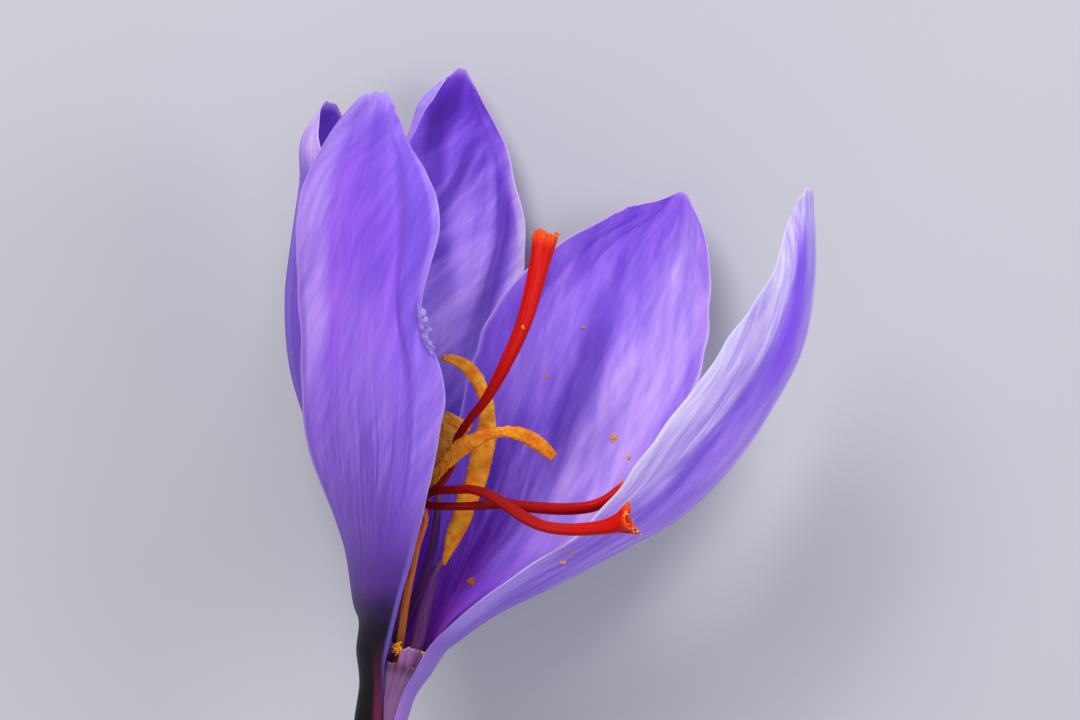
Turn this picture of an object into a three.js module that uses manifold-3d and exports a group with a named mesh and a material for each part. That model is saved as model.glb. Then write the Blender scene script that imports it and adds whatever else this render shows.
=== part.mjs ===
// A saffron crocus lifted from the ground: flower, tube, sheaths, corm and roots.
// It lies on its back. +Y runs from the roots to the flower, +X to the flower's right, +Z up.
// All sizes are in millimetres. The corm's flat resting spot is centred on the origin.

import * as THREE from 'three';
import Module from 'manifold-3d';

const wasm = await Module();
wasm.setup();

// Driving sizes
const cormRadius = 14;
const cormBottom = -9;
const cormShoulder = 12;
const cormAxisZ = 13.5;
const neckBore = 3.6;
const neckBoreStart = 12;
const tubeRadius = 1.5;
const gap = 0.3;
const throat = new THREE.Vector3(3.25, 76, 16.8);
const throatLean = THREE.MathUtils.degToRad(16.5);
const rimRadius = 2.95;
const outerRing = 2.65;
const innerRing = 1.75;
const tepalThickness = 0.6;
const tepalLift = 0.45;
const eyeHeight = 360;
const flowerMiddle = new THREE.Vector2(14.8, 100.2);

const up = new THREE.Vector3(0, 0, 1);
const flower = new THREE.Group();

function material(color, roughness) {
  return new THREE.MeshStandardMaterial({ color, roughness, metalness: 0, side: THREE.DoubleSide });
}

function addMesh(name, geometry, color, roughness) {
  geometry.computeVertexNormals();
  const mesh = new THREE.Mesh(geometry, material(color, roughness));
  mesh.name = name;
  flower.add(mesh);
}

function geometryOf(positions, triangles) {
  const geometry = new THREE.BufferGeometry();
  geometry.setAttribute('position', new THREE.Float32BufferAttribute(positions, 3));
  geometry.setIndex(triangles);
  return geometry;
}

// Flower points were measured from straight above the flower, from eyeHeight over the throat:
// x and y as they appear from there, and z over or under the throat.
function place([x, y, z]) {
  const scale = 1 - z / eyeHeight;
  return new THREE.Vector3(
    flowerMiddle.x + (x - flowerMiddle.x) * scale,
    flowerMiddle.y + (y - flowerMiddle.y) * scale,
    throat.z + z,
  );
}

// A point round the throat: the angle runs from straight up (+Z) to the right (+X),
// and lift is measured along the leaning axis of the flower.
const throatAxis = new THREE.Vector3(Math.sin(throatLean), Math.cos(throatLean), 0);
const throatSide = new THREE.Vector3(Math.cos(throatLean), -Math.sin(throatLean), 0);

function rim(degrees, radius, lift) {
  const angle = THREE.MathUtils.degToRad(degrees);
  return throat.clone()
    .addScaledVector(throatSide, radius * Math.sin(angle))
    .addScaledVector(up, radius * Math.cos(angle))
    .addScaledVector(throatAxis, lift);
}

// A smooth curve through the points, as a function of t from 0 to 1
function along(points) {
  const last = points.length - 1;
  const at = (i) => {
    if (i < 0) {
      return points[0].clone().multiplyScalar(2).sub(points[1]);
    }
    if (i > last) {
      return points[last].clone().multiplyScalar(2).sub(points[last - 1]);
    }
    return points[i];
  };
  return (t) => {
    const i = Math.min(Math.floor(t * last), last - 1);
    const u = t * last - i;
    const weights = [
      -0.5 * u + u * u - 0.5 * u ** 3,
      1 - 2.5 * u * u + 1.5 * u ** 3,
      0.5 * u + 2 * u * u - 1.5 * u ** 3,
      -0.5 * u * u + 0.5 * u ** 3,
    ];
    const point = new THREE.Vector3();
    weights.forEach((weight, k) => point.addScaledVector(at(i - 1 + k), weight));
    return point;
  };
}

// The same for single numbers, such as widths
function level(values) {
  const curve = along(values.map((value) => new THREE.Vector3(value, 0, 0)));
  return (t) => curve(t).x;
}

// A thin closed sheet over the surface point(t, v), t and v from 0 to 1, half its thickness on
// each side. Both faces are split alike. With wrap, v runs round and meets itself, as in a sleeve.
function sheet(point, rows, columns, half, wrap = false) {
  const step = 1e-3;
  const columnCount = wrap ? columns : columns + 1;
  const positions = [];
  for (const side of [1, -1]) {
    for (let i = 0; i <= rows; i += 1) {
      for (let j = 0; j < columnCount; j += 1) {
        const t = i / rows;
        const v = j / columns;
        const t0 = Math.max(t - step, 0);
        const t1 = Math.min(t + step, 1);
        const v0 = wrap ? v - step : Math.max(v - step, 0);
        const v1 = wrap ? v + step : Math.min(v + step, 1);
        const across = point(t, v1).sub(point(t, v0));
        const lengthwise = point(t1, v).sub(point(t0, v));
        const normal = across.cross(lengthwise).normalize();
        positions.push(...point(t, v).addScaledVector(normal, side * half));
      }
    }
  }
  const under = (rows + 1) * columnCount;
  const id = (i, j) => i * columnCount + (j % columnCount);
  const triangles = [];
  for (let i = 0; i < rows; i += 1) {
    for (let j = 0; j < columns; j += 1) {
      const a = id(i, j);
      const b = id(i, j + 1);
      const c = id(i + 1, j + 1);
      const d = id(i + 1, j);
      triangles.push(a, b, c, a, c, d);
      triangles.push(under + a, under + c, under + b, under + a, under + d, under + c);
    }
  }
  const wall = (from, to) => {
    triangles.push(to, from, under + from, to, under + from, under + to);
  };
  for (let j = 0; j < columns; j += 1) {
    wall(id(0, j), id(0, j + 1));
    wall(id(rows, j + 1), id(rows, j));
  }
  for (let i = 0; i < rows && !wrap; i += 1) {
    wall(id(i + 1, 0), id(i, 0));
    wall(id(i, columns), id(i + 1, columns));
  }
  return geometryOf(positions, triangles);
}

// A closed body along a centre line. width(t) is its half width in the plane of the surface it
// lies over, depth(t) its half height, and swell(t, angle) scales both for lobes and frills.
function limb(centre, stations, sides, width, depth, swell = () => 1) {
  const step = 1e-3;
  const positions = [...centre(0)];
  for (let i = 0; i <= stations; i += 1) {
    const t = i / stations;
    const heading = centre(Math.min(t + step, 1)).sub(centre(Math.max(t - step, 0))).normalize();
    const sideways = heading.clone().cross(up).normalize();
    const down = heading.clone().cross(sideways);
    for (let k = 0; k < sides; k += 1) {
      const angle = (2 * Math.PI * k) / sides;
      const size = swell(t, angle);
      positions.push(...centre(t)
        .addScaledVector(sideways, width(t) * size * Math.cos(angle))
        .addScaledVector(down, depth(t) * size * Math.sin(angle)));
    }
  }
  positions.push(...centre(1));
  const end = positions.length / 3 - 1;
  const id = (i, k) => 1 + i * sides + (k % sides);
  const triangles = [];
  for (let k = 0; k < sides; k += 1) {
    triangles.push(0, id(0, k + 1), id(0, k));
    for (let i = 0; i < stations; i += 1) {
      triangles.push(id(i, k), id(i, k + 1), id(i + 1, k + 1));
      triangles.push(id(i, k), id(i + 1, k + 1), id(i + 1, k));
    }
    triangles.push(end, id(stations, k), id(stations, k + 1));
  }
  return geometryOf(positions, triangles);
}

function solid(geometry) {
  const source = new wasm.Mesh({
    numProp: 3,
    vertProperties: new Float32Array(geometry.getAttribute('position').array),
    triVerts: new Uint32Array(geometry.index.array),
  });
  return new wasm.Manifold(source);
}

function plainGeometry(body) {
  const mesh = body.getMesh();
  return geometryOf(Array.from(mesh.vertProperties), Array.from(mesh.triVerts));
}

// A box or other stock shape with its corners welded, so that it can be cut from a body
function welded(geometry) {
  const corners = new Map();
  const positions = [];
  const source = geometry.getAttribute('position');
  const order = geometry.index ? Array.from(geometry.index.array) : [...Array(source.count).keys()];
  const triangles = order.map((index) => {
    const corner = [source.getX(index), source.getY(index), source.getZ(index)];
    const key = corner.map((value) => Math.round(value * 1e4)).join(' ');
    if (!corners.has(key)) {
      corners.set(key, positions.length / 3);
      positions.push(...corner);
    }
    return corners.get(key);
  });
  const kept = [];
  for (let i = 0; i < triangles.length; i += 3) {
    const [a, b, c] = triangles.slice(i, i + 3);
    if (a !== b && b !== c && c !== a) {
      kept.push(a, b, c);
    }
  }
  return geometryOf(positions, kept);
}

// A tepal is the surface through its left edge, midrib and right edge, left and right as seen
// from above. Folds are lengthwise creases: [place across, half width, depth, start, end].
// Ripples run the length of it, slanting across: [count, slant, depth, start].
// The margins wave by waveSize, with waves along their length.
function tepal({ name, base, left, mid, right, folds, ripples, waves, waveSize, color }) {
  const edges = [left, mid, right].map((line, side) => {
    const start = rim(base.angles[side], base.ring, tepalLift);
    return along([start, ...line.map(place)]);
  });
  const plain = (t, v) => {
    const s = 2 * v - 1;
    const point = new THREE.Vector3();
    point.addScaledVector(edges[0](t), (s * (s - 1)) / 2);
    point.addScaledVector(edges[1](t), 1 - s * s);
    point.addScaledVector(edges[2](t), (s * (s + 1)) / 2);
    return point;
  };
  const rise = (t, v) => {
    const s = 2 * v - 1;
    const open = THREE.MathUtils.smoothstep(t, 0.15, 0.5);
    let height = waveSize * open * s ** 4 * Math.sin(2 * Math.PI * waves * t + (s > 0 ? 1.3 : 0));
    const [count, slant, ripple, from] = ripples;
    height += ripple * THREE.MathUtils.smoothstep(t, from, from + 0.3)
      * Math.sin(2 * Math.PI * (count * v + slant * t));
    for (const [across, reach, depth, start, end] of folds) {
      const length = THREE.MathUtils.smoothstep(t, start, start + 0.15)
        * (1 - THREE.MathUtils.smoothstep(t, end - 0.15, end));
      height -= depth * length * Math.exp(-(((s - across) / reach) ** 2));
    }
    return height;
  };
  const step = 1e-3;
  const surface = (t, v) => {
    const across = plain(t, Math.min(v + step, 1)).sub(plain(t, Math.max(v - step, 0)));
    const lengthwise = plain(Math.min(t + step, 1), v).sub(plain(Math.max(t - step, 0), v));
    const normal = across.cross(lengthwise).normalize();
    return plain(t, v).addScaledVector(normal, rise(t, v));
  };
  addMesh(name, sheet(surface, 24, 12, tepalThickness / 2), color, 0.55);
}

// The five tepals: three outer ones, and two inner ones that lie inside them
tepal({
  name: 'tepal_outer_left',
  base: { ring: outerRing, angles: [-112, -60, -14] },
  left: [
    [0.1, 80.6, -1.2], [-0.6, 85, -1], [-2.1, 88.8, -0.6], [-3.6, 93.3, 0], [-4.2, 98.6, 0.5],
    [-4.6, 105, 0.8], [-4.6, 109.4, 1.2], [-4.2, 113.8, 1.8], [-2.9, 117.3, 2.8], [-0.6, 120.6, 4.2],
  ],
  mid: [
    [1.3, 80.6, 3.6], [1.7, 85, 5.4], [1.6, 89.1, 6.9], [1.3, 93.8, 8.1], [1, 99.4, 9],
    [0.9, 105, 9.4], [0.9, 110.4, 9.3], [1, 115.2, 8.7], [1.4, 118.6, 7.8], [1.1, 121.4, 6.6],
  ],
  right: [
    [3.9, 80.5, 4.6], [5, 84.8, 6.3], [5.8, 89.1, 7.6], [6.6, 93.8, 8.9], [7.2, 98.3, 10],
    [5.3, 104.5, 10.6], [6.7, 111, 10.6], [5.8, 115, 9.8], [3.9, 118.2, 8.6], [2.7, 121, 7.2],
  ],
  folds: [[0.45, 0.1, 0.35, 0.35, 0.85]],
  ripples: [2.4, 0.4, 0.12, 0.25],
  waves: 3,
  waveSize: 0.25,
  color: 0x8f6fe0,
});

tepal({
  name: 'tepal_outer_back',
  base: { ring: outerRing, angles: [-128, -175, -220] },
  left: [
    [0.7, 81, -3], [0.4, 85.4, -4.4], [-0.1, 89.8, -6.2], [-0.6, 94.6, -8.2], [-0.9, 99.8, -10.3],
    [-0.8, 105, -11.9], [0.2, 110.2, -12.8], [2.3, 114.7, -13], [4.5, 118.7, -12.6],
    [7.4, 122.7, -13],
  ],
  mid: [
    [3.4, 81, -4.7], [3.9, 85.4, -6.8], [4.5, 89.9, -9], [5.1, 95, -11.4], [5.8, 100.2, -13.6],
    [6.5, 105.4, -15.2], [7.3, 110.7, -15.9], [7.8, 115.8, -15.8], [8.2, 119.8, -15.2],
    [8.6, 123.4, -14.2],
  ],
  right: [
    [6.1, 80.7, -4.4], [7.2, 85, -6.3], [8.8, 89.6, -8.7], [10.6, 94.6, -10.9], [12, 100, -12.6],
    [13.2, 105.1, -13.6], [13.7, 110.1, -13.8], [12.6, 115.4, -13.7], [10.8, 119.2, -13.8],
    [9.2, 122.6, -13.8],
  ],
  folds: [[0.05, 0.1, 0.2, 0.4, 1.05]],
  ripples: [3.2, -2.4, 0.16, 0.45],
  waves: 3,
  waveSize: 0.25,
  color: 0x7a56cf,
});

tepal({
  name: 'tepal_outer_right',
  base: { ring: outerRing, angles: [50, 90, 132] },
  left: [
    [7.1, 78.4, 3.6], [10, 80.9, 5.2], [13.8, 83.6, 6.6], [17.8, 86.3, 7.8], [21.4, 90.2, 8.6],
    [24.5, 94.6, 9.2], [27.8, 99, 9.6], [30.9, 103.2, 9.6], [33.3, 107.1, 9.2], [34.6, 110.9, 8.6],
    [35.8, 113.8, 7.8],
  ],
  mid: [
    [8, 77.6, 1.2], [11.4, 80, 2.2], [15.8, 82.2, 3], [21.1, 85, 3.6], [26, 87.8, 4],
    [30.1, 91.9, 4.2], [33.3, 96.6, 4.4], [35.6, 101.1, 4.8], [36.6, 106.1, 5.2], [36.7, 110.1, 5.6],
    [36.3, 113.8, 6.6],
  ],
  right: [
    [7.3, 77.8, -1.8], [10.5, 80.1, -2], [14.6, 82.3, -2.4], [19.6, 85.1, -3], [24.1, 88.3, -3.4],
    [28.1, 92.6, -3.6], [31.4, 97.5, -3.2], [34, 102, -2.4], [35.6, 106.5, -0.8],
    [36.1, 110.4, 1.2], [36.8, 113.2, 5.4],
  ],
  folds: [[-0.45, 0.16, 0.2, 0.3, 0.95]],
  ripples: [2.6, 0.3, 0.1, 0.25],
  waves: 4,
  waveSize: 0.2,
  color: 0xa68fe6,
});

tepal({
  name: 'tepal_inner_left',
  base: { ring: innerRing, angles: [-72, -110, -148] },
  left: [
    [2, 80.7, 1.1], [1.6, 84.8, 1.3], [0.2, 89, 1.3], [-1.5, 94.2, 1.2], [-1.8, 99.4, 0.8],
    [-1.7, 105, 0.6], [-1.5, 110.2, 0.6], [-2, 114.4, 0.2], [-2.7, 117.9, -0.6],
    [-2.9, 120.2, -1.8],
  ],
  mid: [
    [1.3, 80.7, -0.8], [0.8, 85, -1.7], [-0.8, 89, -2.8], [-3.4, 94.2, -4], [-5.1, 99.4, -5.2],
    [-5.5, 105, -5.5], [-4.9, 110.2, -5.2], [-4.3, 114.4, -4.6], [-4.2, 117.6, -3.9],
    [-2.6, 120.7, -3.4],
  ],
  right: [
    [2, 80.5, -2.6], [1.4, 84.8, -4], [0.7, 89, -5.2], [-0.8, 94.2, -7], [-1.2, 99.4, -8.6],
    [-1.4, 105, -9.8], [-1.4, 110.2, -9.8], [-1.2, 114.6, -9], [-1, 118.2, -7.4],
    [-1.4, 120.6, -5.4],
  ],
  folds: [],
  ripples: [2.5, 0.4, 0.1, 0.3],
  waves: 3,
  waveSize: 0.15,
  color: 0x8a68dc,
});

tepal({
  name: 'tepal_inner_right',
  base: { ring: innerRing, angles: [168, 135, 102] },
  left: [
    [4.9, 79.8, -2.4], [5.6, 84.2, -3.8], [6.6, 89.4, -5.4], [8, 94.6, -7.4], [9.2, 99.4, -9],
    [10.9, 103.9, -10.4], [13.8, 107.7, -11.4], [17.6, 110.4, -12], [22.2, 112.2, -12.2],
    [25.4, 113.3, -12],
  ],
  mid: [
    [6.7, 79.4, -2.1], [8.9, 84, -4], [11.5, 88.8, -6.6], [13.8, 93.8, -9.6], [16.4, 98.2, -11.6],
    [19, 102.3, -13], [21.4, 105.8, -13.6], [23.4, 108.8, -13.4], [25.2, 111.2, -12.8],
    [26.3, 113.5, -12.2],
  ],
  right: [
    [7.7, 78.85, -0.9], [11.8, 81.8, -1.7], [16.4, 84.9, -3.3], [20.4, 88.4, -4.6], [23.7, 92.3, -6],
    [26.5, 96, -7.6], [28, 100.6, -9.2], [28.4, 105, -10.6], [28.1, 109.6, -11.4],
    [27, 112.6, -11.9],
  ],
  folds: [[-0.3, 0.12, 0.3, 0.35, 0.95]],
  ripples: [3.4, -1.2, 0.15, 0.35],
  waves: 3,
  waveSize: 0.25,
  color: 0x8c66d8,
});

// Stamens: each filament rises from the throat, and its anther hangs on past its end
function strand({ name, start, line, widths, flatness, sides, stations, color, swell }) {
  const centre = along([...(start ? [start] : []), ...line.map(place)]);
  const width = level(widths);
  const geometry = limb(centre, stations, sides, width, (t) => width(t) * flatness, swell);
  addMesh(name, geometry, color, 0.7);
}

const filamentRing = 1.15;

strand({
  name: 'filament_1',
  start: rim(70, filamentRing, gap),
  line: [[5.12, 77.76, 0.6], [5.76, 80.96, 0.9], [6.4, 83.2, 0.9], [6.7, 84.3, 0.8]],
  widths: [0.45, 0.55, 0.55, 0.4, 0.2],
  flatness: 0.8,
  sides: 8,
  stations: 10,
  color: 0x6a4068,
});

strand({
  name: 'filament_2',
  start: rim(-40, filamentRing, gap),
  line: [
    [2.75, 78.56, 0.4], [3.7, 81.28, 0.25], [4.5, 84.16, 0.65], [5.28, 86.96, 1.4],
    [5.9, 89.2, 2.4],
  ],
  widths: [0.4, 0.4, 0.4, 0.35, 0.3, 0.2],
  flatness: 0.8,
  sides: 8,
  stations: 10,
  color: 0x6a4068,
});

strand({
  name: 'filament_3',
  start: rim(190, filamentRing, gap),
  line: [[3.76, 78.56, -1.1], [5.2, 81.76, -0.9], [6.2, 85.2, -0.6], [6.6, 87.9, 0], [6.7, 89.5, 0.6]],
  widths: [0.4, 0.45, 0.45, 0.4, 0.3, 0.2],
  flatness: 0.8,
  sides: 8,
  stations: 10,
  color: 0x6a4068,
});

const pollenSacs = (t, angle) => 1 - 0.16 * Math.sin(angle) ** 4;

strand({
  name: 'anther_1',
  line: [
    [7.12, 83.76, 0.9], [7.44, 84.8, 1], [7.84, 85.92, 1.1], [8.48, 87.36, 1.2],
    [8.96, 88.96, 1.2], [9.68, 90.56, 1.2], [10.08, 92.16, 1.2], [10.4, 93.76, 1.2],
    [10.56, 94.96, 1.3], [10.56, 96.56, 1.4], [10.16, 97.76, 1.4], [9.52, 98.96, 1.3],
    [8.48, 99.92, 1.3], [6.96, 100.4, 1.2],
  ],
  widths: [0.12, 0.36, 0.64, 0.8, 0.84, 0.88, 0.88, 0.88, 0.72, 0.52, 0.52, 0.52, 0.48, 0.3],
  flatness: 0.5,
  sides: 12,
  stations: 22,
  color: 0xe08a1c,
  swell: pollenSacs,
});

strand({
  name: 'anther_2',
  line: [
    [6, 89.9, 2.8], [6.5, 90.95, 3.4], [7.36, 92.08, 3.7], [8.56, 93.2, 3.9],
    [10, 93.92, 4.2], [11.6, 94.4, 4.4], [13.2, 94.24, 4.4], [14.56, 93.52, 4.2],
    [15.92, 92.4, 4],
  ],
  widths: [0.2, 0.3, 0.6, 0.85, 0.7, 0.5, 0.55, 0.65, 0.4],
  flatness: 0.55,
  sides: 12,
  stations: 16,
  color: 0xd08020,
  swell: pollenSacs,
});

strand({
  name: 'anther_3',
  line: [
    [6.64, 89.92, 0.9], [6.88, 91.36, 1], [7.28, 92.96, 1.1], [7.76, 94.4, 1.1],
    [8.24, 95.52, 1],
  ],
  widths: [0.3, 0.6, 0.8, 0.95, 1],
  flatness: 0.45,
  sides: 12,
  stations: 12,
  color: 0xd08020,
  swell: pollenSacs,
});

// The pistil is one piece: a thin style that divides into three saffron threads,
// each widening to a frilled trumpet mouth
const frill = (t, angle) => 1 + 0.28 * THREE.MathUtils.smoothstep(t, 0.9, 1) * Math.cos(3 * angle);

function thread(line, widths, stations, swell) {
  const centre = along(line);
  const width = level(widths);
  return solid(limb(centre, stations, 8, width, (t) => width(t) * 0.8, swell));
}

const pistilParts = [
  thread(
    [rim(0, 0.15, gap), ...[
      [3.6, 77.76, 0.9], [4.08, 80.96, 1.6], [4.56, 83.36, 2], [4.96, 85.36, 2.5],
      [5.6, 87.6, 3], [6.08, 88.88, 3.5],
    ].map(place)],
    [0.35, 0.35, 0.32, 0.32, 0.34, 0.38, 0.4],
    14,
  ),
  thread(
    [
      [6.16, 88.9, 3.5], [7.2, 90.2, 3], [7.84, 91.76, 2.6], [8.16, 93.76, 2.6],
      [9.2, 95.44, 2.8], [10.48, 97.04, 3.2], [11.84, 99.52, 3.5], [13.36, 102.96, 3.2],
      [14.48, 106.96, 2.3], [15.04, 110.08, 1.2],
    ].map(place),
    [0.3, 0.3, 0.3, 0.32, 0.42, 0.5, 0.54, 0.62, 0.76, 0.9],
    22,
    frill,
  ),
  thread(
    [
      [6.08, 88.72, 3.6], [6.64, 89.44, 4.4], [8, 89.68, 5.2], [9.36, 89.76, 6.2],
      [10.8, 89.28, 7.2], [12.24, 88.4, 8], [13.68, 87.44, 8.8], [15.2, 86.8, 9.6],
      [17.2, 86.56, 10.2], [19.6, 86.72, 11], [21.52, 87.12, 11.6], [22.56, 87.44, 12],
    ].map(place),
    [0.35, 0.34, 0.36, 0.4, 0.46, 0.5, 0.5, 0.48, 0.5, 0.56, 0.72, 1],
    24,
    frill,
  ),
  thread(
    [
      [6.16, 88.72, 3.5], [7.6, 88.56, 4.2], [9.04, 88.48, 4.8], [10.48, 88.56, 5],
      [12, 88.64, 4.9], [14, 88.4, 4.6], [16.4, 88.24, 4.4], [18.64, 88.4, 4.2],
      [20.08, 88.96, 4.1], [21.2, 89.92, 4],
    ].map(place),
    [0.3, 0.3, 0.34, 0.38, 0.42, 0.46, 0.48, 0.5, 0.56, 0.7],
    20,
    frill,
  ),
];
const pistil = pistilParts.reduce((whole, part) => whole.add(part));
addMesh('pistil', plainGeometry(pistil), 0xc8200f, 0.45);

// The flower tube rises from inside the corm's neck, bends over near its top and widens to the
// rim that the tepals grow from
const tubeStart = neckBoreStart + gap;

function tubeLine(y) {
  const bend = Math.max(y - 54, 0);
  const rise = THREE.MathUtils.smoothstep(y, 20, 74);
  return new THREE.Vector3(
    0.0067 * bend * bend,
    y,
    cormAxisZ + (throat.z - cormAxisZ) * rise,
  );
}

const tubeCentre = (t) => tubeLine(tubeStart + (throat.y - tubeStart) * t);
const tubeWidth = (t) => {
  const y = tubeStart + (throat.y - tubeStart) * t;
  return tubeRadius + (rimRadius - tubeRadius) * Math.max((y - 66) / (throat.y - 66), 0) ** 1.4;
};
addMesh('flower_tube', limb(tubeCentre, 26, 14, tubeWidth, tubeWidth), 0x8d5a94, 0.5);

// Two papery sheaths, one inside the other, with oblique torn tips
function sheath(name, inner, start, end, color) {
  const half = 0.3;
  const point = (t, v) => {
    const angle = 2 * Math.PI * v;
    const tip = end * (1 - 0.12 * (1 + Math.cos(angle - 0.9)) * t)
      + 0.5 * t * Math.sin(5 * angle);
    const y = start + (tip - start) * t;
    const centre = tubeLine(y);
    const loose = 0.35 * THREE.MathUtils.smoothstep(t, 0.5, 1) + 0.08 * Math.sin(7 * angle) * t;
    const radius = inner + half + Math.max(loose, 0);
    return centre.add(new THREE.Vector3(radius * Math.cos(angle), 0, -radius * Math.sin(angle)));
  };
  addMesh(name, sheet(point, 12, 18, half, true), color, 0.8);
}

sheath('sheath_inner', tubeRadius + gap, tubeStart, 60, 0xe6dcc4);
sheath('sheath_outer', tubeRadius + 2 * gap + 0.7, tubeStart, 36, 0xd8c8a4);

// The corm: a flattened globe in a coat of netted fibres, with a neck of fibres at the top
const cormProfile = level([0.43, 0.77, 0.95, 1, 0.94, 0.78, 0.58, 0.42, 0.34, 0.31]
  .map((share) => share * cormRadius));
const cormHeight = along([
  cormBottom, -8.4, -5.4, -0.6, 3.8, 7.2, 9.6, cormShoulder, 14.4, 16.5,
].map((y) => new THREE.Vector3(0, y, cormAxisZ)));

function netRelief(t, angle) {
  const fade = Math.sin(Math.PI * Math.min(t * 1.15, 1));
  const lift = Math.cos(12 * angle + 14 * t) * Math.cos(10 * angle - 16 * t + 2);
  return 1 + 0.03 * fade * lift + 0.015 * Math.sin(3 * angle + 4 * t);
}

let corm = solid(limb(cormHeight, 22, 40, cormProfile, cormProfile, netRelief));

// Fibres of the coat stand up round the neck
const fibreCount = 13;
for (let i = 0; i < fibreCount; i += 1) {
  const angle = (2 * Math.PI * (i + 0.3 * Math.sin(5 * i))) / fibreCount;
  const length = 6.5 + 2.5 * Math.sin(3.7 * i + 1);
  const ring = neckBore + 0.85;
  const spoke = (radius, y) => new THREE.Vector3(
    radius * Math.cos(angle),
    y,
    cormAxisZ + radius * Math.sin(angle),
  );
  const fibre = along([
    spoke(ring + 0.4, cormShoulder),
    spoke(ring, 15.5),
    spoke(ring + 0.1, 16.5 + length * 0.5),
    spoke(ring + 0.7 + 0.5 * Math.sin(2.1 * i), 16.5 + length),
  ]);
  const thickness = level([0.8, 0.75, 0.55, 0.22]);
  corm = corm.add(solid(limb(fibre, 4, 4, thickness, thickness)));
}

const bore = welded(new THREE.CylinderGeometry(neckBore, neckBore, 20, 28));
bore.translate(0, neckBoreStart + 10, cormAxisZ);
const underside = welded(new THREE.BoxGeometry(60, 60, 20));
underside.translate(0, 0, -10);
const restSpot = solid(underside);
corm = corm.subtract(solid(bore)).subtract(restSpot);
addMesh('corm', plainGeometry(corm), 0x8a6038, 0.85);

// Roots: short curved threads from the basal plate under the corm
const rootCount = 15;
const plateLine = along([
  new THREE.Vector3(0, cormBottom - 2.2, cormAxisZ),
  new THREE.Vector3(0, cormBottom - 1.3, cormAxisZ),
  new THREE.Vector3(0, cormBottom - gap, cormAxisZ),
]);
const plateWidth = level([3, 4.6, 5]);
let roots = solid(limb(plateLine, 4, 20, plateWidth, plateWidth));
for (let i = 0; i < rootCount; i += 1) {
  const angle = 2.4 * i;
  const ring = 1 + 3 * Math.sqrt((i + 0.5) / rootCount);
  const length = 12 + 4 * Math.sin(2.3 * i);
  const spread = 2.4 + 1.2 * Math.sin(1.7 * i + 2);
  const spoke = (radius, y, sway) => new THREE.Vector3(
    radius * Math.cos(angle) + sway * Math.cos(3.1 * i),
    y,
    cormAxisZ + radius * Math.sin(angle) * 0.8 + sway * Math.sin(3.1 * i),
  );
  const line = along([
    spoke(ring * 0.8, cormBottom - 1, 0),
    spoke(ring + 0.6, cormBottom - 3.5, 0),
    spoke(ring + spread * 0.5, cormBottom - length * 0.5, 0.5),
    spoke(ring + spread, cormBottom - length * 0.8, 1.2),
    spoke(ring + spread * 1.1, cormBottom - length, 0.8),
  ]);
  const thickness = level([0.55, 0.5, 0.45, 0.38, 0.2]);
  roots = roots.add(solid(limb(line, 7, 5, thickness, thickness)));
}
addMesh('roots', plainGeometry(roots), 0xcdbb94, 0.8);

export default flower;
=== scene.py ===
import math

import bmesh
import bpy
import numpy as np
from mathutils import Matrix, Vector


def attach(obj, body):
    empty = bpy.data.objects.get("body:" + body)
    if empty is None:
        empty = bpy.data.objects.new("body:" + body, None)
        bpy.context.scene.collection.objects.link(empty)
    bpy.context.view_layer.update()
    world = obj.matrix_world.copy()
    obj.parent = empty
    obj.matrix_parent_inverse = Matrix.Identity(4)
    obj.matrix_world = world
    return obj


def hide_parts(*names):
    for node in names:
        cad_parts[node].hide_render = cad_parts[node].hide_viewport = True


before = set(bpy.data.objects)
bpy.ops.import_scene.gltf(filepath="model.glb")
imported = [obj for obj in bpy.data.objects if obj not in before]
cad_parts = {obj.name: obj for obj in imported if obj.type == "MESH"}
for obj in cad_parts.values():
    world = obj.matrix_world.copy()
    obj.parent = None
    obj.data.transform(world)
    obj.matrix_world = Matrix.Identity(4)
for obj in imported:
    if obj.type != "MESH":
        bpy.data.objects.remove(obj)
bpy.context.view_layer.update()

# The studio: the plant lies on a plain pale table top. A large soft lamp hangs over its upper
# left, a weaker one over its right, and the camera looks straight down on the opened flower.
MM = 0.001
EYE_HEIGHT = 360.0
EYE_SHIFT = 0.04
THROAT = np.array([3.25, 76.0, 16.8])
FLOWER_MIDDLE = np.array([14.8, 100.2])
LENS_MM = 150.0
TABLE_SIZE = 2.4
TABLE_DROP = 0.00004
TABLE_SHADES = ("b6b5ba", "bab9be")
ROOM_SHADE = "dfe3ef"
ROOM_STRENGTH = 0.74
LAMPS = {
    "lamp_upper_left": ((-0.2, 0.42, 0.5), 0.36, 3.5, "fffdfa"),
    "lamp_right": ((0.56, 0.1, 0.36), 0.36, 1.7, "f6f6ff"),
}


def shade(code):
    """The linear colour of a paint chart code such as 9164e9"""
    parts = [int(code[i:i + 2], 16) / 255 for i in (0, 2, 4)]
    linear = [p / 12.92 if p <= 0.04045 else ((p + 0.055) / 1.055) ** 2.4 for p in parts]
    return (*linear, 1.0)


def connect(tree, value, socket):
    """Leads a node's output into a socket, or sets the socket to a fixed value"""
    if isinstance(value, bpy.types.NodeSocket):
        tree.links.new(value, socket)
    else:
        socket.default_value = value


def node(tree, kind, inputs=None, **settings):
    """Adds one node with its settings and inputs"""
    made = tree.nodes.new(kind)
    for key, value in settings.items():
        setattr(made, key, value)
    for key, value in (inputs or {}).items():
        connect(tree, value, made.inputs[key])
    return made


def spread(tree, value, low, high, new_low=0.0, new_high=1.0):
    """Moves a value's range from low..high to new_low..new_high, easing in and out"""
    made = node(tree, "ShaderNodeMapRange", interpolation_type="SMOOTHSTEP")
    for key, term in enumerate((value, low, high, new_low, new_high)):
        connect(tree, term, made.inputs[key])
    return made.outputs[0]


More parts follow.
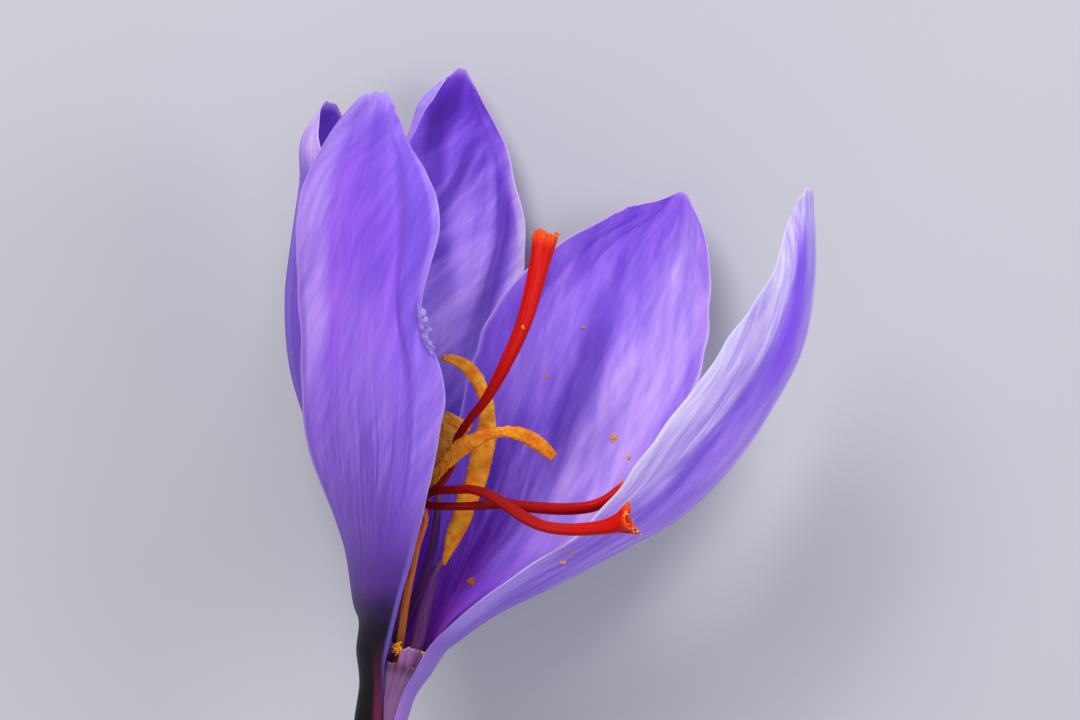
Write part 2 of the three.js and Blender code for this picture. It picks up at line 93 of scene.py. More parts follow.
def mix_shades(tree, share, under, over, way="MIX"):
    """Lays one colour over another by share"""
    made = node(tree, "ShaderNodeMix", data_type="RGBA", blend_type=way)
    for key, term in ((0, share), (6, under), (7, over)):
        connect(tree, term, made.inputs[key])
    return made.outputs[2]


def noise(tree, scale, detail=3.0, roughness=0.5, place=None):
    """Cloudy noise from 0 to 1, over the object itself or over the place given"""
    if place is None:
        place = node(tree, "ShaderNodeTexCoord").outputs["Object"]
    inputs = {"Vector": place, "Scale": scale, "Detail": detail, "Roughness": roughness}
    return node(tree, "ShaderNodeTexNoise", inputs).outputs["Fac"]


def new_finish(name, roughness=0.5, flesh=(0.0, 0.05), shine=0.5, sheen=0.0):
    """A material and its surface shader. flesh is how much light soaks in and how far, in metres,
    shine how strongly it mirrors the lamps, and sheen its soft fuzz."""
    finish = bpy.data.materials.new(name)
    finish.use_nodes = True
    surface = finish.node_tree.nodes["Principled BSDF"]
    for socket, value in (("Roughness", roughness), ("Subsurface Weight", flesh[0]),
                          ("Subsurface Scale", flesh[1]), ("Specular IOR Level", shine),
                          ("Sheen Weight", sheen)):
        surface.inputs[socket].default_value = value
    return finish, finish.node_tree, surface


def put(name, data, at=(0, 0, 0)):
    """Puts a lamp, a camera or a mesh in the room"""
    thing = bpy.data.objects.new(name, data)
    bpy.context.scene.collection.objects.link(thing)
    thing.location = at
    return thing


flower_centre = Vector((*FLOWER_MIDDLE, THROAT[2])) * MM
for name, (offset, size, power, tone) in LAMPS.items():
    lamp = bpy.data.lights.new(name, "AREA")
    lamp.shape = "DISK"
    lamp.size = size
    lamp.energy = power
    lamp.color = shade(tone)[:3]
    hung = put(name, lamp, flower_centre + Vector(offset))
    hung.rotation_euler = (flower_centre - hung.location).to_track_quat("-Z", "Y").to_euler()

room = bpy.data.worlds.new("pale_room")
room.use_nodes = True
room.node_tree.nodes["Background"].inputs["Color"].default_value = shade(ROOM_SHADE)
room.node_tree.nodes["Background"].inputs["Strength"].default_value = ROOM_STRENGTH
bpy.context.scene.world = room
bpy.context.scene.view_settings.view_transform = "Standard"

lens = bpy.data.cameras.new("camera_over_flower")
lens.lens = LENS_MM
lens.clip_start = 0.01
eye = Vector((FLOWER_MIDDLE[0], FLOWER_MIDDLE[1] - EYE_SHIFT, THROAT[2] + EYE_HEIGHT)) * MM
bpy.context.scene.camera = put("camera_over_flower", lens, eye)

table_finish, tree, surface = new_finish("pale_table_top", 0.8)
dust = spread(tree, noise(tree, 9.0, 4.0), 0.3, 0.7)
connect(tree, mix_shades(tree, dust, *map(shade, TABLE_SHADES)), surface.inputs["Base Color"])
table_mesh = bpy.data.meshes.new("table_top")
corners = [(x * TABLE_SIZE / 2, y * TABLE_SIZE / 2, -TABLE_DROP)
           for x, y in ((-1, -1), (1, -1), (1, 1), (-1, 1))]
table_mesh.from_pydata(corners, [], [(0, 1, 2, 3)])
table_mesh.materials.append(table_finish)
table = put("table_top", table_mesh)

# The corm, which gardeners call the bulb: a flattened solid globe of starchy stem in a brown coat
# of netted fibres, the old leaf bases. The fibres rise to a collar round the hole of the neck.
CORM_RADIUS = 14.0
CORM_BOTTOM = -9.0
CORM_SHOULDER = 12.0
CORM_AXIS_Z = 13.5
NECK_TOP = 16.5
NECK_BORE = 3.6
NECK_BORE_START = 12.0
CORM_SHARES = [0.43, 0.77, 0.95, 1, 0.94, 0.78, 0.58, 0.42, 0.34, 0.31]
CORM_HEIGHTS = [CORM_BOTTOM, -8.4, -5.4, -0.6, 3.8, 7.2, 9.6, CORM_SHOULDER, 14.4, NECK_TOP]
NET_STRANDS = 40
NET_TURNS = 2.4
NET_HEIGHT = 0.2
NET_SHARP = 0.3
NET_SWAYS = ((1.1, 3, 2), (0.9, 7, -3))
CORM_ROWS = 180
CORM_SIDES = 320
# Neck fibres: the least of each measure, and the most that chance adds to it
FIBRE_LENGTH = (5.2, 3.6)
FIBRE_RING = (NECK_BORE + 0.45, 0.75)
FIBRE_LEAN = (0.35, 0.75)
FIBRE_THICK = (0.17, 0.12)
FIBRE_TWIST = 0.2
FIBRE_SHARES = (0.7, 1.3, 1.2, 0.8, 0.16)
FIBRE_COUNT = 64
FIBRE_GRID = (22, 6)
# Loose threads on the coat: from the least to the most of each measure
LOOSE_START = (0.12, 0.62)
LOOSE_REACH = (0.12, 0.3)
LOOSE_SWAY = (-0.25, 0.25)
LOOSE_LIFT = (0.2, 0.9)
LOOSE_THICK = (0.07, 0.13)
LOOSE_THREADS = 44
LOOSE_GRID = (20, 6)
ANY_TURN = (0, 6.28)
UP = np.array([0.0, 0.0, 1.0])


def smoothstep(value, low, high):
    """Eases from 0 at low to 1 at high"""
    share = np.clip((value - low) / (high - low), 0, 1)
    return share * share * (3 - 2 * share)


def unit(vectors):
    """The same directions, each of length one"""
    return vectors / np.maximum(np.linalg.norm(vectors, axis=-1, keepdims=True), 1e-12)


def along(points):
    """A smooth curve through the points, as a function of t from 0 to 1"""
    points = np.asarray(points, float).reshape(len(points), -1)
    last = len(points) - 1
    knots = np.vstack([2 * points[0] - points[1], points, 2 * points[-1] - points[-2]])

    def at(t):
        t = np.asarray(t, float)
        i = np.clip(np.floor(t * last).astype(int), 0, last - 1)
        u = (t * last - i)[..., None]
        weights = (-0.5 * u + u**2 - 0.5 * u**3, 1 - 2.5 * u**2 + 1.5 * u**3,
                   0.5 * u + 2 * u**2 - 1.5 * u**3, -0.5 * u**2 + 0.5 * u**3)
        return sum(weight * knots[i + k] for k, weight in enumerate(weights))

    return at


def level(values):
    """The same for single numbers, such as widths"""
    curve = along(values)
    return lambda t: curve(t)[..., 0]


def grid_faces(rows, columns, around=False, turned=False, first=0, marks=None):
    """Four-sided faces over a grid of points, and where each corner lies: across and along"""
    spans = columns if around else columns - 1
    i, j = (side.ravel() for side in np.meshgrid(np.arange(rows - 1), np.arange(spans), indexing="ij"))
    down = np.stack([i, i, i + 1, i + 1], 1)
    over = np.stack([j, j + 1, j + 1, j], 1)
    ids = first + down * columns + over % columns
    lengthwise = np.linspace(0, 1, rows) if marks is None else marks
    places = np.stack([over / spans, lengthwise[down]], 2)
    if turned:
        return ids[:, ::-1], places[:, ::-1]
    return ids, places


def round_body(rings, marks, finish=0):
    """A closed body from rings of points. The marks say how far along it each ring lies."""
    rows, sides = rings.shape[:2]
    faces = [(*grid_faces(rows, sides, around=True, marks=marks), finish)]
    ring = np.arange(sides)
    for row, order in ((0, ring[::-1]), (rows - 1, ring)):
        places = np.stack([order / sides, np.full(sides, marks[row])], 1)
        faces.append(((row * sides + order)[None], places[None], finish))
    return {"points": rings.reshape(-1, 3), "faces": faces}


def limb(centre, rows, sides, width, depth, swell=None, finish=0, scale=None):
    """A closed round body of rings along a centre line. rows is the number of rings, or how far
    along each ring lies. width is its half width in the plane of the table, depth its half height,
    and swell(t, angle) scales both for ridges, lobes and frills."""
    t = np.linspace(0, 1, rows) if isinstance(rows, int) else rows
    step = 1e-3
    line = centre(t)
    heading = unit(centre(np.minimum(t + step, 1)) - centre(np.maximum(t - step, 0)))
    sideways = unit(np.cross(heading, UP))
    downward = np.cross(heading, sideways)
    angle = 2 * np.pi * np.arange(sides) / sides
    size = np.ones((len(t), sides)) if swell is None else swell(t[:, None], angle[None, :])
    size = size if scale is None else size * scale[:, None]
    rings = (line[:, None]
             + sideways[:, None] * (width(t)[:, None] * size * np.cos(angle))[..., None]
             + downward[:, None] * (depth(t)[:, None] * size * np.sin(angle))[..., None])
    return round_body(rings, t, finish)


def make_piece(name, shells, finishes):
    """One object from shells of points, in millimetres, and faces with their places and finishes"""
    points, faces, places, numbers = [], [], [], []
    count = 0
    for shell in shells:
        for ids, marks, finish in shell["faces"]:
            faces.extend((ids + count).tolist())
            places.append(marks.reshape(-1, 2))
            numbers.append(np.full(len(ids), finish))
        points.append(shell["points"])
        count += len(shell["points"])
    mesh = bpy.data.meshes.new(name)
    mesh.from_pydata((np.concatenate(points) * MM).tolist(), [], faces)
    surface_map = mesh.uv_layers.new(name="surface_map")
    surface_map.data.foreach_set("uv", np.concatenate(places).astype(np.float32).ravel())
    for finish in finishes:
        mesh.materials.append(finish)
    mesh.polygons.foreach_set("material_index", np.concatenate(numbers).astype(np.int32))
    mesh.polygons.foreach_set("use_smooth", np.ones(len(faces), bool))
    mesh.update()
    return put(name, mesh)


def new_group(name, inputs, outputs):
    """An empty shader node group with number sockets"""
    group = bpy.data.node_groups.new(name, "ShaderNodeTree")
    for label, value in inputs.items():
        socket = group.interface.new_socket(label, in_out="INPUT", socket_type="NodeSocketFloat")
        socket.default_value = value
    for label in outputs:
        group.interface.new_socket(label, in_out="OUTPUT", socket_type="NodeSocketFloat")
    return group, node(group, "NodeGroupInput").outputs, node(group, "NodeGroupOutput").inputs


def use_group(tree, group, inputs):
    """Places a node group in a material, with its own values"""
    made = node(tree, "ShaderNodeGroup", node_tree=group)
    for key, value in inputs.items():
        connect(tree, value, made.inputs[key])
    return made.outputs


def surface_place(tree):
    """Where a point lies on its piece: across or around, and along"""
    at = node(tree, "ShaderNodeUVMap", uv_map="surface_map").outputs["UV"]
    parts = node(tree, "ShaderNodeSeparateXYZ", {"Vector": at}).outputs
    return parts["X"], parts["Y"]


def spot_at(tree, x, y, z=0.0):
    """A place for noise, made of three values"""
    return node(tree, "ShaderNodeCombineXYZ", {"X": x, "Y": y, "Z": z}).outputs[0]


def calc(tree, operation, *terms):
    """One sum on values that change over the surface"""
    made = node(tree, "ShaderNodeMath", operation=operation)
    for term, socket in zip(terms, made.inputs):
        connect(tree, term, socket)
    return made.outputs[0]


def tint(tree, tone, code, share, strength):
    """Lays a paint over the tone by share, at most by strength"""
    return mix_shades(tree, calc(tree, "MULTIPLY", share, strength), tone, shade(code))


def tint_along(tree, tone, code, start, end, strength=1.0):
    """Lays a paint over the tone more and more from start to end along the piece"""
    lengthwise = surface_place(tree)[1]
    return mix_shades(tree, spread(tree, lengthwise, start, end, 0.0, strength), tone, shade(code))


def dress(tree, surface, tone, height, depth_mm, strength=1.0):
    """Gives a surface its colour, and a fine relief of the given depth"""
    connect(tree, tone, surface.inputs["Base Color"])
    inputs = {"Height": height, "Distance": depth_mm * MM, "Strength": strength}
    connect(tree, node(tree, "ShaderNodeBump", inputs).outputs["Normal"], surface.inputs["Normal"])


# Streaks that run the length of a round body and meet themselves behind it
tree, given, result = new_group(
    "round_streaks", {"Around": 0.0, "Along": 0.0, "Lines": 4.0, "Stretch": 2.0, "Seed": 0.0}, ["Streaks"])
turn = calc(tree, "MULTIPLY", given["Around"], 2 * math.pi)
over = calc(tree, "MULTIPLY", calc(tree, "COSINE", turn), given["Lines"])
under = calc(tree, "MULTIPLY", calc(tree, "SINE", turn), given["Lines"])
far = calc(tree, "MULTIPLY_ADD", given["Along"], given["Stretch"], given["Seed"])
cloud = noise(tree, 1.0, place=spot_at(tree, over, under, far))
connect(tree, spread(tree, cloud, 0.28, 0.72), result["Streaks"])
round_streaks = tree


def round_lines(tree, lines, stretch, seed=0.0):
    """Streaks along a round body, for its finish"""
    around, lengthwise = surface_place(tree)
    return use_group(tree, round_streaks, {"Around": around, "Along": lengthwise, "Lines": lines,
                                           "Stretch": stretch, "Seed": seed})["Streaks"]


def net_strands(around, lengthwise):
    """How near a place on the coat is to a strand of the net: 1 on it, 0 between strands"""
    near = 0
    for way in (1, -1):
        sway = sum(size * np.sin(2 * np.pi * (turns * around + rise * way * lengthwise))
                   for size, turns, rise in NET_SWAYS)
        phase = np.pi * (NET_STRANDS * around + way * NET_TURNS * lengthwise) + sway
        near = np.maximum(near, np.exp(-((np.sin(phase) / NET_SHARP) ** 2)))
    return near


corm_radii = level([share * CORM_RADIUS for share in CORM_SHARES])
corm_line = along([(0, y, CORM_AXIS_Z) for y in CORM_HEIGHTS])
draw = np.random.default_rng(11)
coat_waves = [(draw.integers(5, 40), draw.uniform(4, 26), draw.uniform(*ANY_TURN)) for _ in range(12)]


def coat_relief(t, angle):
    """The strands of the coat and the wrinkles under them, as a share of the corm's radius"""
    fade = np.sin(np.pi * np.clip(t * 1.1, 0, 1)) ** 0.5
    wrinkles = sum(np.sin(round_count * angle + rise * t + start)
                   for round_count, rise, start in coat_waves) * 0.0016
    net = net_strands(angle / (2 * np.pi), t) * NET_HEIGHT / CORM_RADIUS
    return 1 + fade * (net + wrinkles) + 0.015 * np.sin(3 * angle + 4 * t)


# Rings inside the coat's two ends, each with its place along the coat: on the flat base, as a
# share of its rim and how far it is dented, and down the bore of the neck, by radius and height
BASE_RINGS = [(-0.08, 0.3, 0.18), (-0.04, 0.7, 0.15), (-0.015, 0.9, 0.08), (-0.005, 0.965, 0.01)]
BORE_RINGS = [(1.0, 3.95, NECK_TOP + 0.1), (1.02, 3.65, NECK_TOP), (1.06, NECK_BORE, NECK_TOP - 1.2),
              (1.1, NECK_BORE - 0.2, NECK_BORE_START + 0.1)]
corm_times = np.linspace(0, 1, CORM_ROWS)
coat = limb(corm_line, corm_times, CORM_SIDES, corm_radii, corm_radii, coat_relief)
coat_rings = coat["points"].reshape(CORM_ROWS, CORM_SIDES, 3)
corm_foot = np.array([0.0, CORM_BOTTOM, CORM_AXIS_Z])
base_rings = [corm_foot + (coat_rings[0] - corm_foot) * share + [0, dent, 0]
              for _, share, dent in BASE_RINGS]
angle = 2 * np.pi * np.arange(CORM_SIDES) / CORM_SIDES
bore_rings = [np.stack([radius * np.cos(angle), np.full(CORM_SIDES, y),
                        CORM_AXIS_Z - radius * np.sin(angle)], 1) for _, radius, y in BORE_RINGS]
corm_rings = np.stack([*base_rings, *coat_rings, *bore_rings])
corm_rings[..., 2] = np.maximum(corm_rings[..., 2], 0)
corm_marks = np.concatenate([[ring[0] for ring in BASE_RINGS], corm_times, [ring[0] for ring in BORE_RINGS]])
corm_body = round_body(corm_rings, corm_marks)

fibres = []
for i in range(FIBRE_COUNT):
    turn_at = 2 * np.pi * (i + 0.35 * draw.uniform(-1, 1)) / FIBRE_COUNT
    length, ring, lean_out = (least + more * draw.uniform(0, 1)
                              for least, more in (FIBRE_LENGTH, FIBRE_RING, FIBRE_LEAN))
    twist = FIBRE_TWIST * draw.uniform(-1, 1)

    def spoke(radius, y, turned=0.0):
        angle = turn_at + turned
        return radius * math.cos(angle), y, CORM_AXIS_Z + radius * math.sin(angle)

    fibre = along([spoke(ring + 1.3, CORM_SHOULDER - 2.4), spoke(ring + 0.55, CORM_SHOULDER - 0.2),
                   spoke(ring, 15.5, twist), spoke(ring + 0.1, NECK_TOP + length * 0.5, 1.5 * twist),
                   spoke(ring + lean_out, NECK_TOP + length, 2.4 * twist)])
    thick = FIBRE_THICK[0] + FIBRE_THICK[1] * draw.uniform(0, 1)
    thickness = level([thick * share for share in FIBRE_SHARES])
    fibres.append(limb(fibre, *FIBRE_GRID, thickness, thickness, finish=1))

for i in range(LOOSE_THREADS):
    turn_at = math.radians(-42 + 264 * (i + draw.uniform(0, 1)) / LOOSE_THREADS)
    start, reach = draw.uniform(*LOOSE_START), draw.uniform(*LOOSE_REACH)
    share = np.linspace(0, 1, 9)
    times = start + reach * share
    angles = turn_at + draw.uniform(*LOOSE_SWAY) * share + 0.05 * np.sin(9 * share + i)
    lifted = 0.16 + draw.uniform(*LOOSE_LIFT) * share**3
    radius = corm_radii(times).reshape(-1) + lifted
    heights = corm_line(times)[:, 1]
    thread = along(np.stack([radius * np.cos(angles), heights, CORM_AXIS_Z + radius * np.sin(angles)], 1))
    thick = draw.uniform(*LOOSE_THICK)
    thickness = level([thick, thick, 0.8 * thick, 0.3 * thick])
    fibres.append(limb(thread, *LOOSE_GRID, thickness, thickness, finish=1))

coat_finish, tree, surface = new_finish("netted_coat", 0.85, sheen=0.15)
around, lengthwise = surface_place(tree)
strand = 0.0
for way in (1, -1):
    phase = calc(tree, "ADD", calc(tree, "MULTIPLY", around, math.pi * NET_STRANDS),
                 calc(tree, "MULTIPLY", lengthwise, math.pi * NET_TURNS * way))
    for size, turns, rise in NET_SWAYS:
        sway_turn = calc(tree, "ADD", calc(tree, "MULTIPLY", around, 2 * math.pi * turns),
                         calc(tree, "MULTIPLY", lengthwise, 2 * math.pi * rise * way))
        phase = calc(tree, "MULTIPLY_ADD", calc(tree, "SINE", sway_turn), size, phase)
    edge = calc(tree, "ABSOLUTE", calc(tree, "SINE", phase))
    strand = calc(tree, "MAXIMUM", strand, spread(tree, edge, 0.08, 0.42, 1.0, 0.0))
threads = round_lines(tree, 34.0, 5.0)
blotch = spread(tree, noise(tree, 160.0, 4.0), 0.3, 0.7)
speck = noise(tree, 1500.0, 2.0)
long_fibres = round_lines(tree, 16.0, 2.0, 9.0)
tone = mix_shades(tree, blotch, shade("4c2f1a"), shade("76492a"))
tone = tint(tree, tone, "a3794a", threads, 0.55)
tone = tint(tree, tone, "8e6034", long_fibres, 0.5)
strand_share = calc(tree, "MULTIPLY", strand, calc(tree, "MULTIPLY_ADD", blotch, 0.4, 0.25))
tone = mix_shades(tree, strand_share, tone, shade("b98f5e"))
tone = tint_along(tree, tone, "c7a878", 0.84, 1.05, 0.6)
rise = calc(tree, "ADD", calc(tree, "MULTIPLY", threads, 0.6), calc(tree, "MULTIPLY", speck, 0.2))
rise = calc(tree, "ADD", rise, calc(tree, "MULTIPLY", long_fibres, 0.8))
dress(tree, surface, tone, rise, 0.2)

fibre_finish, tree, surface = new_finish("neck_fibre", 0.8, sheen=0.1)
blotch = spread(tree, noise(tree, 420.0, 3.0), 0.3, 0.7)
tone = mix_shades(tree, blotch, shade("86602f"), shade("c3a06a"))
tone = tint_along(tree, tone, "d8c197", 0.5, 1.0, 0.5)
dress(tree, surface, tone, noise(tree, 2600.0, 2.0), 0.05)

corm = make_piece("netted_corm", [corm_body, *fibres], [coat_finish, fibre_finish])
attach(corm, "root")
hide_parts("corm")

# The roots: a ring of short pale threads that grow from the round plate under the corm. They are
# soft and brittle, a little wrinkled, and taper to fine brownish ends.
# Roots: each measure, and how far it swings from root to root
ROOT_LENGTH = (12, 4)
ROOT_OUTWARD = (2.4, 1.2)
ROOT_WIDTHS = [0.6, 0.5, 0.45, 0.36, 0.07]
ROOTLET_WIDTHS = [0.16, 0.11, 0.04]
ROOT_TURN = 2.4
ROOT_RING = (1, 3)
ROOT_COUNT = 15
GAP = 0.3
PLATE_HALF_WIDTHS = [2.2, 4.2, 4.8, 5.0]
PLATE_DEPTHS = [2.2, 1.7, 1.0, GAP]
PLATE_GRID = (30, 96)
ROOT_GRID = (90, 12)
ROOTLET_GRID = (14, 6)

plate_line = along([(0, CORM_BOTTOM - depth, CORM_AXIS_Z) for depth in PLATE_DEPTHS])
plate_width = level(PLATE_HALF_WIDTHS)


def plate_relief(t, angle):
    """Scars of old roots round the plate"""
    return 1 + 0.035 * np.sin(9 * angle + 5 * t) * np.sin(np.pi * t) + 0.02 * np.sin(23 * angle - 9 * t)


root_shells = [limb(plate_line, *PLATE_GRID, plate_width, plate_width, plate_relief)]
for i in range(ROOT_COUNT):
    angle = ROOT_TURN * i
    ring = ROOT_RING[0] + ROOT_RING[1] * math.sqrt((i + 0.5) / ROOT_COUNT)
    length = ROOT_LENGTH[0] + ROOT_LENGTH[1] * math.sin(2.3 * i)
    outward = ROOT_OUTWARD[0] + ROOT_OUTWARD[1] * math.sin(1.7 * i + 2)

    def spoke(radius, y, sway):
        return (radius * math.cos(angle) + sway * math.cos(3.1 * i), y,
                CORM_AXIS_Z + radius * math.sin(angle) * 0.8 + sway * math.sin(3.1 * i))

    line = along([spoke(ring * 0.8, CORM_BOTTOM - 1, 0), spoke(ring + 0.6, CORM_BOTTOM - 3.5, 0),
                  spoke(ring + outward * 0.5, CORM_BOTTOM - length * 0.5, 0.5),
                  spoke(ring + outward, CORM_BOTTOM - length * 0.8, 1.2),
                  spoke(ring + outward * 1.1, CORM_BOTTOM - length, 0.8)])
    thickness = level(ROOT_WIDTHS)
    starts = draw.uniform(*ANY_TURN, 3)

    def wrinkles(t, turned):
        return (1 + 0.05 * np.sin(70 * t + starts[0]) * np.sin(23 * t + starts[1])
                + 0.05 * np.sin(3 * turned + starts[2] + 9 * t))

    root_shells.append(limb(line, *ROOT_GRID, thickness, thickness, wrinkles))
    for side in (1, -1):
        fork = draw.uniform(0.45, 0.75)
        start = line(np.array(fork))
        reach = np.array([side * draw.uniform(0.5, 1.3), -draw.uniform(1.0, 2.0), draw.uniform(-0.9, 0.9)])
        rootlet = along([start, start + reach * 0.45, start + reach + np.array([0, -0.7, 0])])
        fine = level(ROOTLET_WIDTHS)
        root_shells.append(limb(rootlet, *ROOTLET_GRID, fine, fine))

root_finish, tree, surface = new_finish("root_skin", 0.6, (0.15, 0.0006))
blotch = spread(tree, noise(tree, 260.0, 4.0), 0.32, 0.7)
fine_lines = round_lines(tree, 3.0, 14.0)
tone = mix_shades(tree, blotch, shade("e9ddbd"), shade("c9ad7c"))
tone = tint(tree, tone, "f3ecd8", fine_lines, 0.35)
tone = tint_along(tree, tone, "a67a48", 0.72, 1.0, 0.7)
dress(tree, surface, tone, noise(tree, 1900.0, 3.0), 0.06)

roots = make_piece("corm_roots", root_shells, [root_finish])
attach(roots, "root")
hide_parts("roots")

# The flower tube: a long thin stalk-like tube of petal tissue that rises from the corm's neck,
# leans over near its top and widens to the throat. It is pale below and purple above.
TUBE_HALF = 1.5
TUBE_START = NECK_BORE_START + GAP
TUBE_TOP = THROAT[1]
TUBE_BEND_FROM = 54.0
TUBE_BEND = 0.0067
TUBE_RISE = (20.0, 74.0)
FLARE_FROM = 66.0
SLOW_FLARE = 0.58
RIM_FLARE_FROM = 0.74
RIM_FLARE = 0.74
RIM_FLARE_POWER = 1.6
TUBE_ROWS = 260
TUBE_SIDES = 96
TORN_WAVES = ((0.05, 11, 0), (0.04, 26, 1), (0.05, 43, 2))
TORN_RISE = 0.15
TORN_FROM = 1.2
TORN_MIDDLE = 18
TORN_REACH = 42
FLUTED_FROM = (50, 72)
THROAT_RINGS = [(0.02, 2.68), (0.3, 2.5), (0.9, 2.2), (1.8, 1.85), (2.9, 1.55), (4.0, 1.25), (4.5, 0.9)]
THROAT_MM_PER_MARK = 20
TUBE_SHADES = [(0.0, "efe8dc"), (0.45, "e8dce4"), (0.62, "c9aed6"), (0.78, "957099"), (0.9, "764a78"),
               (0.96, "744a74"), (0.985, "7c5280"), (0.993, "4e1830"), (1.03, "5f2346"), (1.08, "5a2250"),
               (1.25, "2c0a2c")]
STUB_GRID = (24, 60)
STUB_TURNS = (4, 74)
STUB_RADIUS = 2.42
STUB_DEPTH = 1.6
STUB_RISE = 1.75
STUB_HALF = 0.09


def tube_line(y):
    """The centre line of the tube by height"""
    y = np.asarray(y, float)
    rise = smoothstep(y, *TUBE_RISE)
    return np.stack([TUBE_BEND * np.maximum(y - TUBE_BEND_FROM, 0) ** 2, y,
                     CORM_AXIS_Z + (THROAT[2] - CORM_AXIS_Z) * rise], -1)


def tube_half(y):
    """The radius of the tube by height"""
    flare = np.maximum((np.asarray(y, float) - FLARE_FROM) / (TUBE_TOP - FLARE_FROM), 0)
    at_rim = np.maximum((flare - RIM_FLARE_FROM) / (1 - RIM_FLARE_FROM), 0)
    return TUBE_HALF + SLOW_FLARE * flare + RIM_FLARE * at_rim**RIM_FLARE_POWER


def round_tube(y, degrees, radius):
    """A point round the tube: the angle runs from the front (+Z) to the right (+X)"""
    y, degrees, radius = np.broadcast_arrays(*(np.asarray(part, float) for part in (y, degrees, radius)))
    heading = unit(tube_line(y + 0.01) - tube_line(y - 0.01))
    sideways = unit(np.cross(heading, UP))
    upward = np.cross(sideways, heading)
    angle = np.radians(degrees)[..., None]
    return tube_line(y) + radius[..., None] * (np.sin(angle) * sideways + np.cos(angle) * upward)


def facing(points, around=False):
    """Which way a sheet faces at each point of its grid"""
    if around:
        over = np.roll(points, -1, 1) - np.roll(points, 1, 1)
    else:
        over = np.gradient(points, axis=1)
    return unit(np.cross(over, np.gradient(points, axis=0)))


def blade(points, half, around=False, finishes=(0, 0), marks=None):
    """A thin closed sheet over a grid of points, with half its thickness on each side"""
    rows, columns = points.shape[:2]
    offset = facing(points, around) * np.broadcast_to(half, (rows, columns))[..., None]
    upper, lower = points + offset, points - offset
    count = rows * columns
    marks = np.linspace(0, 1, rows) if marks is None else marks
    top = grid_faces(rows, columns, around, marks=marks)
    under = grid_faces(rows, columns, around, True, count, marks)
    grid = np.arange(count).reshape(rows, columns)
    shares = np.arange(columns) / (columns if around else columns - 1)
    walls, wall_places = [], []

    def wall(start, end, places):
        walls.append(np.stack([end, start, start + count, end + count], 1))
        wall_places.append(places)

    for row, turned in ((0, False), (rows - 1, True)):
        first = grid[row]
        after = np.roll(first, -1)
        mark = np.stack([shares, np.full(columns, marks[row])], 1)
        next_mark = np.roll(mark, -1, 0)
        if around:
            next_mark[-1, 0] = 1.0
        else:
            first, after, mark, next_mark = first[:-1], after[:-1], mark[:-1], next_mark[:-1]
        if turned:
            first, after, mark, next_mark = after, first, next_mark, mark
        wall(first, after, np.stack([next_mark, mark, mark, next_mark], 1))
    if not around:
        for column, turned in ((0, True), (columns - 1, False)):
            first, after = grid[:-1, column], grid[1:, column]
            mark = np.stack([np.full(rows - 1, shares[column]), marks[:-1]], 1)
            next_mark = np.stack([np.full(rows - 1, shares[column]), marks[1:]], 1)
            if turned:
                first, after, mark, next_mark = after, first, next_mark, mark
            wall(first, after, np.stack([next_mark, mark, mark, next_mark], 1))
    return {"points": np.vstack([upper.reshape(-1, 3), lower.reshape(-1, 3)]),
            "faces": [(*top, finishes[0]), (*under, finishes[1]),
                      (np.vstack(walls), np.vstack(wall_places), finishes[0])]}


def shade_ramp(tree, share, stops, easing="LINEAR"):
    """Tones that change with share; each stop is a place and the tone there"""
    ramp = node(tree, "ShaderNodeValToRGB", {"Fac": share})
    ramp.color_ramp.interpolation = easing
    made = ramp.color_ramp.elements
    while len(made) < len(stops):
        made.new(0.5)
    for stop, (at, code) in zip(made, stops):
        stop.position = at
        stop.color = shade(code)
    return ramp.outputs["Color"]


tube_turns = np.linspace(0, 360, TUBE_SIDES, endpoint=False)
tube_heights = TUBE_START + (TUBE_TOP - TUBE_START) * np.linspace(0, 1, TUBE_ROWS) ** 0.9
angle = np.radians(tube_turns)
torn = sum(size * np.sin(angle * count + start) for size, count, start in TORN_WAVES)
front_tear = np.exp(-((((tube_turns + 180 - TORN_MIDDLE) % 360 - 180) / TORN_REACH) ** 2))
flutes = 0.035 * np.cos(angle * 6) + 0.008 * np.cos(angle * 17 + 1)
tube_rings = []
for y in tube_heights:
    near_top = smoothstep(y, TUBE_TOP - TORN_FROM, TUBE_TOP)
    tube_rings.append(round_tube(y + near_top * (TORN_RISE + torn) * front_tear, tube_turns,
                                 tube_half(y) + flutes * smoothstep(y, *FLUTED_FROM)))
for depth, half in THROAT_RINGS:
    lift = (TORN_RISE + torn) * front_tear * smoothstep(1.0 - depth, 0, 1)
    tube_rings.append(round_tube(TUBE_TOP - depth + lift, tube_turns, half))
tube_marks = [*((tube_heights - TUBE_START) / (TUBE_TOP - TUBE_START)),
              *(1 + depth / THROAT_MM_PER_MARK for depth, half in THROAT_RINGS)]
tube_shell = round_body(np.stack(tube_rings), np.array(tube_marks))

# The torn stub of the fallen tepal stands up in front of the throat
stub_turns = np.linspace(*STUB_TURNS, STUB_GRID[1])
stub_share = np.linspace(0, 1, STUB_GRID[1])
stub_top = STUB_RISE * (0.55 + 0.45 * np.sin(np.pi * np.clip(stub_share * 1.25, 0, 1)) ** 0.7)
stub_top = stub_top - 0.45 * stub_share + 0.08 * np.sin(13 * stub_share) + 0.05 * np.sin(37 * stub_share + 1)
stub_steps = np.linspace(0, 1, STUB_GRID[0])[:, None]
stub_points = round_tube(TUBE_TOP - STUB_DEPTH + (STUB_DEPTH + stub_top) * stub_steps, stub_turns,
                         STUB_RADIUS - 0.5 * (1 - stub_steps) + 0.03 * np.sin(11 * stub_share))
stub_shell = blade(stub_points, STUB_HALF, finishes=(1, 1))

